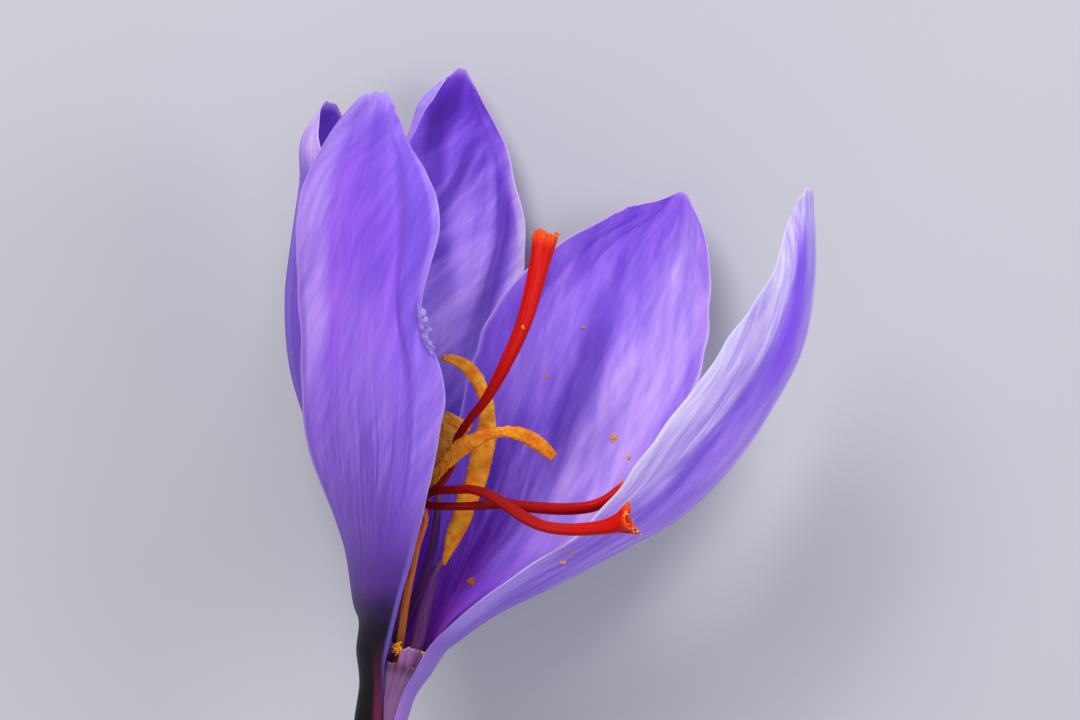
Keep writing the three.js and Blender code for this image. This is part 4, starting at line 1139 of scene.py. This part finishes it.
def curled_margin(points, rows, first, last, roll, flap):
    """A strip of the left margin that rolls up and over the seen face, from one place along the
    tepal to another: roll is the radius of the curl, flap the flat width that lies over behind it"""
    picked = np.nonzero((rows >= first) & (rows <= last))[0]
    edge = points[picked, 0]
    outward = unit(edge - points[picked, 3])
    upward = facing(points)[picked, 0]
    share = np.linspace(0, 1, len(picked))
    size = np.interp(share, *CURL_SIZES)
    turns = np.linspace(0, 1, CURL_COLUMNS)
    bend = np.minimum(turns / 0.5, 1) * np.pi * CURL_TURN
    flat = np.maximum(turns - 0.5, 0) / 0.5 * flap
    over = roll * np.sin(bend) - roll - flat
    lift = roll * (1 - np.cos(bend)) + flat * 0.1 + 0.06
    strip = (edge[:, None] + outward[:, None] * (over * size[:, None])[..., None]
             + upward[:, None] * (lift * size[:, None])[..., None])
    return in_lane(blade(strip[:, ::-1], CURL_HALF, finishes=(0, 1), marks=rows[picked]), 0.0, 0.03)


def tatter(points, rows, first, last, reach, lift, twist):
    """A crumpled scrap that hangs on at a tear in the right margin, up off the face by lift"""
    at = np.linspace(first, last, TATTER_GRID[0])
    edge, margin, upward = (np.stack([np.interp(at, rows, grid[:, column, k]) for k in range(3)], 1)
                            for grid, column in ((points, -6), (points, -1), (facing(points), -6)))
    outward = unit(margin - edge)
    share = np.linspace(0, 1, TATTER_GRID[0])[:, None, None]
    step = np.linspace(0, 1, TATTER_GRID[1])[None, :, None]
    narrow = np.sin(np.pi * (0.08 + 0.84 * share)) ** 0.7 * (1 + 0.3 * np.sin(19 * share + 90 * first))
    crumple = 0.08 * np.sin(17 * step + 13 * share) + 0.07 * np.sin(11 * step - 29 * share)
    onward = unit(edge[-1] - edge[0])
    strip = (edge[:, None] + outward[:, None] * reach * step * narrow + onward * twist * step**2
             + upward[:, None] * (lift * np.sin(2.2 * step) * narrow + crumple * step + 0.04))
    return in_lane(blade(strip, TATTER_HALF, marks=at), 0.985, 0.015)


# Each tepal's surface, for the pollen that lies on it
tepal_skins = {}


def make_tepal(name, tepal):
    """One tepal with its two faces, its curled margin and the scraps at its tears"""
    points, rows = tepal_skins[name] = tepal_surface(tepal)
    finishes = [tepal_finish(f"{name}_{side}_face", *tepal[side][:2], tepal["seed"] + k, *tepal[side][2:])
                for k, side in enumerate(("seen", "hidden"))]
    shells = [blade(points, thin_edges(rows), finishes=(0, 1), marks=rows)]
    shells += [curled_margin(points, rows, *curl) for curl in tepal.get("curls", [])]
    shells += [tatter(points, rows, *scrap) for scrap in tepal.get("tatters", [])]
    piece = make_piece(name, shells, finishes)
    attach(piece, "root")
    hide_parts(tepal["solid"])


for name, tepal in outer_tepals.items():
    make_tepal(name, tepal)

# The inner tepals: two of the three that stand inside the outer ones; the third has fallen and
# left a torn rim. They grow from inside the throat and are like the outer ones, a little broader.
INNER_RING = 2.2

inner_tepals = {
    "inner_tepal_left": {
        "solid": "tepal_inner_left", "slot": "tepal_outer", "seed": 31, "ring": INNER_RING,
        "angles": (-72, -110, -148), "foot": 0.07, "foot_angles": (-80, -110, -140),
        "left": [
            [2, 80.7, 1.1], [1.6, 84.8, 1.3], [0.2, 89, 1.3], [-1.5, 94.2, 1.2], [-1.8, 99.4, 0.8],
            [-1.7, 105, 0.6], [-1.5, 110.2, 0.6], [-2, 114.4, 0.2], [-2.8, 117.9, -0.6],
            [-2.8, 120.3, -1.8],
        ],
        "mid": [
            [1.3, 80.7, -0.8], [0.8, 85, -1.7], [-0.8, 89, -2.8], [-3.4, 94.2, -4], [-5.1, 99.4, -5.2],
            [-5.5, 105, -5.5], [-4.9, 110.2, -5.2], [-4.3, 114.4, -4.6], [-4.1, 117.8, -3.9],
            [-2.0, 120.95, -3.4],
        ],
        "right": [
            [2, 80.5, -2.6], [1.4, 84.8, -4], [0.7, 89, -5.2], [-0.8, 94.2, -7], [-1.2, 99.4, -8.6],
            [-1.4, 105, -9.8], [-1.4, 110.2, -9.8], [-1.2, 114.6, -9], [-0.9, 118.0, -7.4],
            [-1.1, 120.1, -5.4],
        ],
        "folds": [], "ripples": [(2.5, 0.4, 0.08, 0.3)],
        "waves": (3, 0.15), "ragged": 0.004, "tip_ragged": 0.003, "veins": 20, "vein_height": 0.008,
        "frill": 0.015, "peaks": [],
        "seen": ([(-0.2, "3a0c4a"), (0.0, "4a1462"), (0.3, "6038b0"), (0.7, "6842bc"), (0.9, "5636a6"),
                  (1.0, "4e2f9f")],
                 [("5a3aa8", 0.6, (0.5, 0.3), (0.5, 0.9), 0.5, 0.9, "coarse")], "4c2890", "d0b8f8"),
        "hidden": ([(-0.2, "2a1c38"), (0.0, "2e1e40"), (0.2, "523284"), (0.45, "5c3a9a"),
                    (0.6, "6240aa"), (0.8, "7e5ecc"), (0.9, "bca0f0"), (1.0, "cbaef2")],
                   [("e6bcee", 0.7, (0.1, 0.84), (0.1, 0.99), 0.14, 1.0, "fine"),
                    ("7c6ad0", 0.5, (0.36, 0.5), (0.4, 0.8), 0.1, 0.3, "fine"),
                    ("6a48b0", 0.6, (0.3, 0.3), (0.3, 0.8), 0.3, 1.0, "fine")], "6040a8", "dcc4f8"),
    },
    "inner_tepal_right": {
        "solid": "tepal_inner_right", "slot": "tepal_inside", "seed": 32, "ring": INNER_RING,
        "angles": (168, 130, 92), "foot": 0.07, "foot_angles": (160, 135, 104),
        "left": [
            [4.9, 79.8, -2.4], [5.6, 84.2, -3.8], [6.6, 89.4, -5.4], [8, 94.6, -7.4], [9.2, 99.4, -9],
            [10.9, 103.9, -10.4], [13.8, 107.7, -11.4], [17.6, 110.4, -12], [22.2, 112.2, -12.2],
            [25.4, 113.3, -12],
        ],
        "mid": [
            [6.7, 79.4, -2.1], [8.9, 84, -4], [11.5, 88.8, -6.6], [13.8, 93.8, -9.6],
            [16.4, 98.2, -11.6], [19, 102.3, -13], [21.4, 105.8, -13.6], [23.4, 108.8, -13.4],
            [25.2, 111.2, -12.8], [26.3, 113.5, -12.2],
        ],
        "right": [
            [7.7, 78.85, -0.9], [11.8, 81.8, -1.7], [16.4, 84.9, -3.3], [20.4, 88.4, -4.6],
            [23.7, 92.3, -6], [26.5, 96, -7.6], [28, 100.6, -9.2], [28.4, 105, -10.6],
            [28.1, 109.6, -11.4], [27, 112.6, -11.9],
        ],
        "folds": [(-0.3, 0.2, 0.22, 0.35, 1.0), (0.25, 0.16, 0.18, 0.3, 0.75),
                  (-0.62, 0.05, 0.1, 0.3, 0.97), (-0.1, 0.045, 0.09, 0.25, 0.9),
                  (0.5, 0.04, 0.07, 0.2, 0.7), (-0.42, 0.035, 0.08, 0.55, 1.0)],
        "ripples": [(2.7, -1.2, 0.13, 0.35)],
        "waves": (3, 0.2), "ragged": 0.006, "tip_ragged": 0.006, "veins": 26, "vein_height": 0.008,
        "frill": 0.03, "peaks": [(0.55, 0.12, 0.006)],
        "tears": [(-1, 0.9, 0.035, -0.1), (-1, 0.965, 0.012, 0.05), (-1, 0.81, 0.02, 0.018),
                  (-1, 0.7, 0.012, 0.012)],
        # The foot's tones are painted lighter than the tissue's own, to make up for the shade deep in the
        # throat.
        "seen": ([(-0.2, "3a0c4a"), (0.0, "b040c8"), (0.04, "b446d2"), (0.1, "a84cda"), (0.17, "9a58e8"),
                  (0.25, "a078f6"), (0.38, "a07cf4"), (0.55, "a480f2"), (0.75, "9e78ec"),
                  (0.9, "8e66e4"), (1.0, "906eea")],
                 # Painted highlight: the right half, which faces the upper left lamp.
                 [("c4a6f6", 0.85, (0.84, 0.3), (0.8, 0.94), 0.27, 0.2, "coarse"),
                  # Painted shade on the left part, which turns from the lamp.
                  ("6f42c2", 0.75, (0.06, 0.3), (0.12, 0.66), 0.15, 0.3, "coarse"),
                  # Painted shade along a fold.
                  ("42228e", 0.95, (0.68, 0.38), (0.5, 0.64), 0.11, 0.25, "brush"),
                  ("5e3aac", 0.7, (0.5, 0.6), (0.38, 0.84), 0.06, 0.4, "coarse"),
                  # Painted shadow under the second anther.
                  ("5632a2", 0.8, (0.3, 0.3), (0.42, 0.42), 0.16, 0.3, "brush"),
                  ("6238b4", 0.7, (0.2, 0.62), (0.3, 0.98), 0.16, 0.9, "coarse"),
                  ("6a40bc", 0.6, (0.5, 0.78), (0.6, 1.0), 0.2, 1.0, "fine"),
                  ("a98cf2", 0.6, (0.36, 0.45), (0.3, 0.62), 0.06, 0.4, "fine"),
                  # The magenta throat veins, painted lighter than their own tone to make up for the shade
                  # deep in the throat.
                  ("ac36d0", 0.9, (0.42, 0.06), (0.42, 0.3), 0.42, 1.0, "fine"),
                  ("962cba", 0.6, (0.45, 0.05), (0.4, 0.27), 0.4, 1.0, "coarse"),
                  ("a03cc0", 0.7, (0.55, 0.08), (0.6, 0.22), 0.16, 0.6, "fine"),
                  ("4e1886", 0.75, (0.5, 0.1), (0.42, 0.4), 0.42, 1.0, "small brush"),
                  ("8264de", 0.7, (0.97, 0.5), (0.97, 0.78), 0.06, 0.1, "fine"),
                  # Painted shade beside the right outer tepal.
                  ("3c0c58", 0.9, (0.92, 0.0), (0.97, 0.16), 0.1, 0.1, "fine")],
                 "643ac2", "c6b0f6", -0.9),
        "hidden": (*PLAIN_OUTER, "cdb4f6"),
    },
}
for name, tepal in inner_tepals.items():
    make_tepal(name, tepal)

# The stamens: three soft stalks from the throat, each carrying a long twisted anther. The anthers
# have burst along their length and are covered in sticky orange pollen.
FILAMENT_RING = 1.15
FILAMENT_FLATNESS = 0.8
STALK_GRID = (90, 20)

filaments = {
    "stamen_stalk_1": ("filament_1", 70, [[5.12, 77.76, 0.6], [5.76, 80.96, 0.9], [6.45, 83.2, 0.9],
                                          [7.02, 84.25, 0.7]], [0.45, 0.55, 0.6, 0.52, 0.34, 0.12]),
    "stamen_stalk_2": ("filament_2", -40, [[2.75, 78.56, 0.4], [3.7, 81.28, 0.25], [4.5, 84.16, 0.65],
                                           [5.28, 86.96, 1.4], [5.9, 89.2, 2.4]],
                       [0.4, 0.4, 0.4, 0.4, 0.35, 0.3, 0.16]),
    "stamen_stalk_3": ("filament_3", 190, [[3.76, 78.56, -1.1], [5.2, 81.76, -0.9], [6.2, 85.2, -0.6],
                                           [6.6, 87.9, 0], [6.7, 89.5, 0.6]],
                       [0.4, 0.4, 0.45, 0.45, 0.4, 0.3, 0.16]),
}

stalk_finish, tree, surface = new_finish("stamen_stalk_skin", 0.5, (0.15, 0.0004), 0.25)
lines = round_lines(tree, 2.4, 5.0)
tone = mix_shades(tree, lines, shade("662a78"), shade("7c4482"))
tone = tint_along(tree, tone, "4a1c5c", 0.3, 0.05, 0.6)
tone = tint_along(tree, tone, "b0702c", 0.8, 1.0, 0.8)
dress(tree, surface, tone, lines, 0.05)

for name, (solid_name, start, line, widths) in filaments.items():
    centre = along([rim(start, 0.75, -2.6), rim(start, FILAMENT_RING, GAP), *map(place, line)])
    width = level(widths)
    shell = limb(centre, *STALK_GRID, width, lambda t: width(t) * FILAMENT_FLATNESS,
                 lambda t, angle: 1 + 0.06 * np.cos(5 * angle + 3 * t) + 0.03 * np.sin(31 * t + angle))
    stalk = make_piece(name, [shell], [stalk_finish])
    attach(stalk, "root")
    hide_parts(solid_name)

anthers = {
    "pollen_anther_1": ("anther_1", 0.5, 41, [
        [7.12, 83.76, 0.9], [7.44, 84.8, 1], [7.84, 85.92, 1.1], [8.48, 87.36, 1.2],
        [8.96, 88.96, 1.2], [9.68, 90.56, 1.2], [10.08, 92.16, 1.2], [10.4, 93.76, 1.2],
        [10.56, 94.96, 1.3], [10.56, 96.56, 1.4], [10.16, 97.76, 1.4], [9.52, 98.96, 1.3],
        [8.48, 99.92, 1.3], [6.96, 100.4, 1.2],
    ], [0.12, 0.36, 0.64, 0.8, 0.84, 0.88, 0.88, 0.88, 0.72, 0.52, 0.52, 0.52, 0.48, 0.22]),
    "pollen_anther_2": ("anther_2", 0.55, 42, [
        [6, 89.9, 2.8], [6.5, 90.95, 3.4], [7.36, 92.08, 3.7], [8.56, 93.2, 3.9], [10, 93.92, 4.2],
        [11.6, 94.4, 4.4], [13.2, 94.24, 4.4], [14.56, 93.52, 4.2], [15.92, 92.4, 4],
    ], [0.2, 0.35, 0.56, 0.72, 0.52, 0.38, 0.54, 0.58, 0.4]),
    "pollen_anther_3": ("anther_3", 0.45, 43, [
        [6.64, 89.92, 0.9], [6.88, 91.36, 1], [7.28, 92.96, 1.1], [7.76, 94.4, 1.1],
        [8.34, 95.56, 1],
    ], [0.35, 0.7, 0.98, 1.15, 1.2]),
}
# Deep and bright pollen tones for each anther and the fallen grains. These are painted light: the ones that
# lie in shade are lighter, and the one in full light is darker.
POLLEN_LIT_TONES = {"pollen_anther_1": ("ff8414", "ffbe34"), "pollen_anther_2": ("d86e0a", "f49e20"),
                "pollen_anther_3": ("ff8c20", "ffc448"), "fallen_pollen": ("f08018", "ffb63c")}
ANTHER_GRID = (120, 40)
GRAINS_PER_ANTHER = 900
GRAIN_SIZES = (0.035, 0.1)
GRAIN_LUMPS = 0.22
HEAP_GRAINS = (14, 130)
HEAP_GRAIN_SIZES = (0.05, 0.12)
HEAP_CLOSENESS = 2.6
HEAP_RISE = 0.35
THROAT_GRAINS = 180
THROAT_GRAIN_SIZES = (0.05, 0.13)


def ball():
    """The points and faces of a small ball"""
    shape = bmesh.new()
    bmesh.ops.create_icosphere(shape, subdivisions=1, radius=1.0)
    points = np.array([corner.co[:] for corner in shape.verts])
    faces = np.array([[corner.index for corner in face.verts] for face in shape.faces])
    shape.free()
    return points, faces


grain_points, grain_faces = ball()


def grains(middles, sizes, draw, finish=0):
    """Small pollen grains, each a lumpy ball half sunk where it sticks"""
    count = len(middles)
    lumps = 1 + GRAIN_LUMPS * draw.uniform(-1, 1, (count, len(grain_points), 1))
    points = middles[:, None] + grain_points[None] * lumps * sizes[:, None, None]
    ids = (grain_faces[None] + np.arange(count)[:, None, None] * len(grain_points)).reshape(-1, 3)
    places = np.full((*ids.shape, 2), 0.5)
    return {"points": points.reshape(-1, 3), "faces": [(ids, places, finish)]}


def pollen_finish(name):
    """Sticky pollen: orange clumps and yellow ones, the yellow partly a painted highlight, in tones painted
    lighter or darker for the light on each anther
    """
    finish, tree, surface = new_finish(f"{name}_crust", 0.7, (0.3, 0.0004), 0.2)
    clump = spread(tree, noise(tree, 1100.0, 3.0), 0.3, 0.7)
    patch = spread(tree, noise(tree, 300.0, 2.0), 0.35, 0.65)
    deep, bright = POLLEN_LIT_TONES[name]
    tone = mix_shades(tree, clump, shade(deep), shade(bright))
    tone = tint(tree, tone, deep, patch, 0.2)
    dress(tree, surface, tone, noise(tree, 3800.0, 2.0), 0.04)
    return finish


# Grains that fell from the anthers: on a tepal, by its name, across, along and the heap's size, or
# in the throat, by place and size
FALLEN = [("inner_tepal_right", 0.84, 0.475, 0.34), ("inner_tepal_right", 0.42, 0.5, 0.16),
          ("inner_tepal_right", 0.93, 0.47, 0.14), ("inner_tepal_right", 0.7, 0.17, 0.36),
          ("inner_tepal_right", 0.45, 0.6, 0.1), ("inner_tepal_right", 0.6, 0.3, 0.1),
          ("outer_tepal_right", 0.15, 0.31, 0.2), ("outer_tepal_right", 0.1, 0.33, 0.12)]
THROAT_HEAPS = [((3.4, 77.1, 2.4), 0.5), ((5.4, 76.5, 1.35), 0.34), ((13.42, 102.8, 3.85), 0.1)]

for name, (solid_name, flatness, seed, line, widths) in anthers.items():
    draw = np.random.default_rng(seed)
    centre = along([place(point) for point in line])
    width = level(widths)
    bumps = [(draw.integers(2, 9), draw.uniform(15, 70), draw.uniform(*ANY_TURN)) for _ in range(10)]

    def pollen_sacs(t, angle):
        """Four pollen sacs, with grooves between them, under a crust of pollen"""
        crust = sum(np.sin(lobes * angle + rate * t + start) for lobes, rate, start in bumps) * 0.018
        return 1 - 0.16 * np.sin(angle) ** 4 - 0.05 * np.cos(4 * angle) + crust

    body = limb(centre, *ANTHER_GRID, width, lambda t: width(t) * flatness, pollen_sacs)
    rows = draw.integers(2, ANTHER_GRID[0] - 3, GRAINS_PER_ANTHER)
    columns = draw.integers(0, ANTHER_GRID[1], GRAINS_PER_ANTHER)
    sizes = draw.uniform(*GRAIN_SIZES, GRAINS_PER_ANTHER)
    dust = grains(body["points"].reshape(*ANTHER_GRID, 3)[rows, columns], sizes, draw)
    anther = make_piece(name, [body, dust], [pollen_finish(name)])
    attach(anther, "root")
    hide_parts(solid_name)

draw = np.random.default_rng(44)
fallen_shells = []
for name, across, lengthwise, size in FALLEN:
    points, rows = tepal_skins[name]
    row, column = np.searchsorted(rows, lengthwise), round(across * (TEPAL_COLUMNS - 1))
    count = int(HEAP_GRAINS[0] + HEAP_GRAINS[1] * size)
    scatter = draw.normal(0, 1, (count, 2)) * size / HEAP_CLOSENESS
    along_it = unit(points[row + 1, column] - points[row - 1, column])
    over_it = unit(points[row, column + 1] - points[row, column - 1])
    normal = np.cross(over_it, along_it)
    normal = normal * np.sign(normal[2])
    heap = HEAP_RISE * size * np.exp(-(scatter**2).sum(1) / size**2) * draw.uniform(0, 1, count)
    middles = (points[row, column] + scatter[:, :1] * along_it + scatter[:, 1:] * over_it
               + normal * (TEPAL_HALF + heap)[:, None])
    fallen_shells.append(grains(middles, draw.uniform(*HEAP_GRAIN_SIZES, count), draw))
for at, size in THROAT_HEAPS:
    count = int(THROAT_GRAINS * size)
    middles = place(at) + draw.normal(0, 1, (count, 3)) * [size / 3, size / 2.2, size / 3]
    fallen_shells.append(grains(middles, draw.uniform(*THROAT_GRAIN_SIZES, count), draw))
fallen = make_piece("fallen_pollen", fallen_shells, [pollen_finish("fallen_pollen")])
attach(fallen, "root")

# The pistil: one soft grown piece, a thin style that divides into three saffron threads. Each
# thread is deep red and grooved, and opens at its end into a frilled, hollow trumpet mouth.
STYLE_LINE = [[3.6, 77.76, 0.9], [4.08, 80.96, 1.6], [4.56, 83.36, 2], [4.96, 85.36, 2.5],
              [5.55, 87.5, 3], [5.1, 88.9, 3.3]]
STYLE_WIDTHS = [0.3, 0.35, 0.35, 0.32, 0.32, 0.34, 0.38, 0.4]
THREAD_FLATNESS = 0.8

threads = {
    "standing": {
        "line": [
            [5.3, 88.9, 3.3], [6.8, 90.2, 3], [7.8, 91.76, 2.6], [8.16, 93.76, 2.6],
            [9.24, 95.44, 2.8], [10.52, 97.04, 3.2], [11.92, 99.52, 3.5], [13.48, 102.96, 3.2],
            [14.6, 106.96, 2.3], [15.1, 110.08, 1.2],
        ],
        "widths": [0.28, 0.28, 0.28, 0.3, 0.34, 0.4, 0.52, 0.62, 0.76, 0.98],
        "lobes": [(10, 0.5, 0.5), (130, 0.15, 0.4), (250, 0.3, 0.4)], "bend": 0.0,
    },
    "front": {
        "line": [
            [5.1, 88.95, 3.4], [6.2, 89.6, 4.4], [8, 89.75, 5.2], [9.36, 89.76, 6.2],
            [10.8, 89.28, 7.2], [12.24, 88.4, 8], [13.68, 87.44, 8.8], [15.2, 86.8, 9.6],
            [17.2, 86.56, 10.2], [19.6, 86.72, 11], [21.0, 87.05, 11.5], [21.9, 87.3, 11.8],
        ],
        "widths": [0.3, 0.32, 0.34, 0.36, 0.42, 0.46, 0.47, 0.45, 0.47, 0.55, 0.74, 1.08],
        "lobes": [(180, 0.36, 0.8), (10, 0.4, 0.7), (300, 0.2, 0.5)], "bend": 0.08,
    },
    "behind": {
        "line": [
            [5.1, 88.8, 3.3], [6.4, 88.46, 3.8], [9.04, 88.46, 4.7], [10.48, 88.56, 5],
            [12, 88.64, 4.9], [14, 88.4, 4.6], [16.4, 88.24, 4.4], [18.64, 88.4, 4.2],
            [20.08, 88.96, 4.1], [21.7, 90.1, 3.7],
        ],
        "widths": [0.3, 0.3, 0.32, 0.36, 0.4, 0.44, 0.46, 0.46, 0.44, 0.4],
        "lobes": [(0, 0.2, 0.5), (120, 0.2, 0.5), (240, 0.2, 0.5)], "bend": 0.0,
    },
}
MOUTH_ROWS = 16
MOUTH_FLOOR = 0.93
MOUTH_NARROWS = (0.9, 0.3)
THREAD_ROWS = 150
THREAD_SIDES = 48
STYLE_GRID = (110, 24)
FRINGE_GRAINS = 46
FRINGE_GRAIN_SIZES = (0.04, 0.1)
FRINGE_SPREAD = 0.05


def thread_shell(thread, seed):
    """A solid thread that widens to a thin-walled hollow mouth with a lobed, fringed rim"""
    draw = np.random.default_rng(seed)
    centre = along([place(point) for point in thread["line"]])
    width = level(thread["widths"])
    outer = np.linspace(0, 1, THREAD_ROWS)
    inner = np.linspace(1, MOUTH_FLOOR, MOUTH_ROWS)
    times = np.concatenate([outer, inner])
    narrow = np.concatenate([np.ones(THREAD_ROWS), np.linspace(*MOUTH_NARROWS, MOUTH_ROWS)])
    starts = draw.uniform(*ANY_TURN, 4)

    def grooves(t, angle):
        furrow = 0.1 * np.cos(3 * angle + 2.0 * t + starts[0]) + 0.02 * np.cos(8 * angle + 6 * t + starts[1])
        flare = 0.2 * smoothstep(t, 0.88, 1) * np.cos(3 * angle + starts[2])
        ruffle = 0.09 * smoothstep(t, 0.94, 1) * np.cos(13 * angle + starts[3])
        return 1 + furrow + flare + ruffle

    shell = limb(centre, times, THREAD_SIDES, width, lambda t: width(t) * THREAD_FLATNESS, grooves,
                 finish=1, scale=narrow)
    points = shell["points"].reshape(len(times), THREAD_SIDES, 3)
    angle = 2 * np.pi * np.arange(THREAD_SIDES) / THREAD_SIDES
    heading = unit(centre(np.array([1.0])) - centre(np.array([0.985])))[0]
    length = np.zeros(THREAD_SIDES)
    spreading = np.zeros(THREAD_SIDES)
    for degrees, reach, wide in thread["lobes"]:
        near = np.exp(-((((angle - math.radians(degrees) + np.pi) % (2 * np.pi) - np.pi) / wide) ** 2))
        length = length + near * reach
        spreading = spreading + near * thread["bend"]
    length = length + 0.09 * draw.uniform(-1, 1, THREAD_SIDES)
    share = smoothstep(times, 0.95, 1.0)[:, None, None]
    middle = centre(times)[:, None]
    points = points + heading * length[None, :, None] * share
    points = points + (points - middle) * spreading[None, :, None] * share
    shell["points"] = points.reshape(-1, 3)
    return shell, points[THREAD_ROWS - 1]


style_centre = along([rim(0, 0.1, -2.4), rim(0, 0.15, GAP), *map(place, STYLE_LINE)])
style_width = level(STYLE_WIDTHS)
pistil_shells = [limb(style_centre, *STYLE_GRID, style_width, lambda t: style_width(t) * THREAD_FLATNESS,
                      lambda t, angle: 1 + 0.06 * np.cos(3 * angle + 4 * t))]
draw = np.random.default_rng(51)
for seed, thread in enumerate(threads.values()):
    shell, mouth = thread_shell(thread, 60 + seed)
    pistil_shells.append(shell)
    fringe = mouth[draw.integers(0, THREAD_SIDES, FRINGE_GRAINS)]
    fringe = fringe + draw.normal(0, FRINGE_SPREAD, (FRINGE_GRAINS, 3))
    pistil_shells.append(grains(fringe, draw.uniform(*FRINGE_GRAIN_SIZES, FRINGE_GRAINS), draw, finish=2))

style_finish, tree, surface = new_finish("style_skin", 0.4, (0.2, 0.0004))
lines = round_lines(tree, 2.0, 8.0)
tone = tint_along(tree, shade("cc6e20"), "d0661c", 0.22, 0.5)
tone = tint_along(tree, tone, "e04812", 0.6, 0.82)
tone = tint(tree, tone, "e49a34", lines, 0.4)
tone = tint_along(tree, tone, "c47818", 0.26, 0.2, 0.7)
dress(tree, surface, tone, lines, 0.05)

thread_finish, tree, surface = new_finish("saffron_thread", 0.44, (0.1, 0.0003), 0.09)
lines = round_lines(tree, 3.2, 9.0)
tone = tint_along(tree, shade("8a0a05"), "d80e02", 0.35, 0.95)
tone = tint(tree, tone, "760808", lines, 0.4)
tone = tint_along(tree, tone, "ee5a14", 0.955, 1.0, 0.8)
dress(tree, surface, tone, lines, 0.03)

fringe_finish, tree, surface = new_finish("mouth_fringe", 0.5, (0.3, 0.0004))
clump = spread(tree, noise(tree, 2400.0, 2.0), 0.35, 0.65)
connect(tree, mix_shades(tree, clump, shade("e4601c"), shade("ffc07a")), surface.inputs["Base Color"])

pistil = make_piece("saffron_pistil", pistil_shells, [style_finish, thread_finish, fringe_finish])
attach(pistil, "root")
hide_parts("pistil")
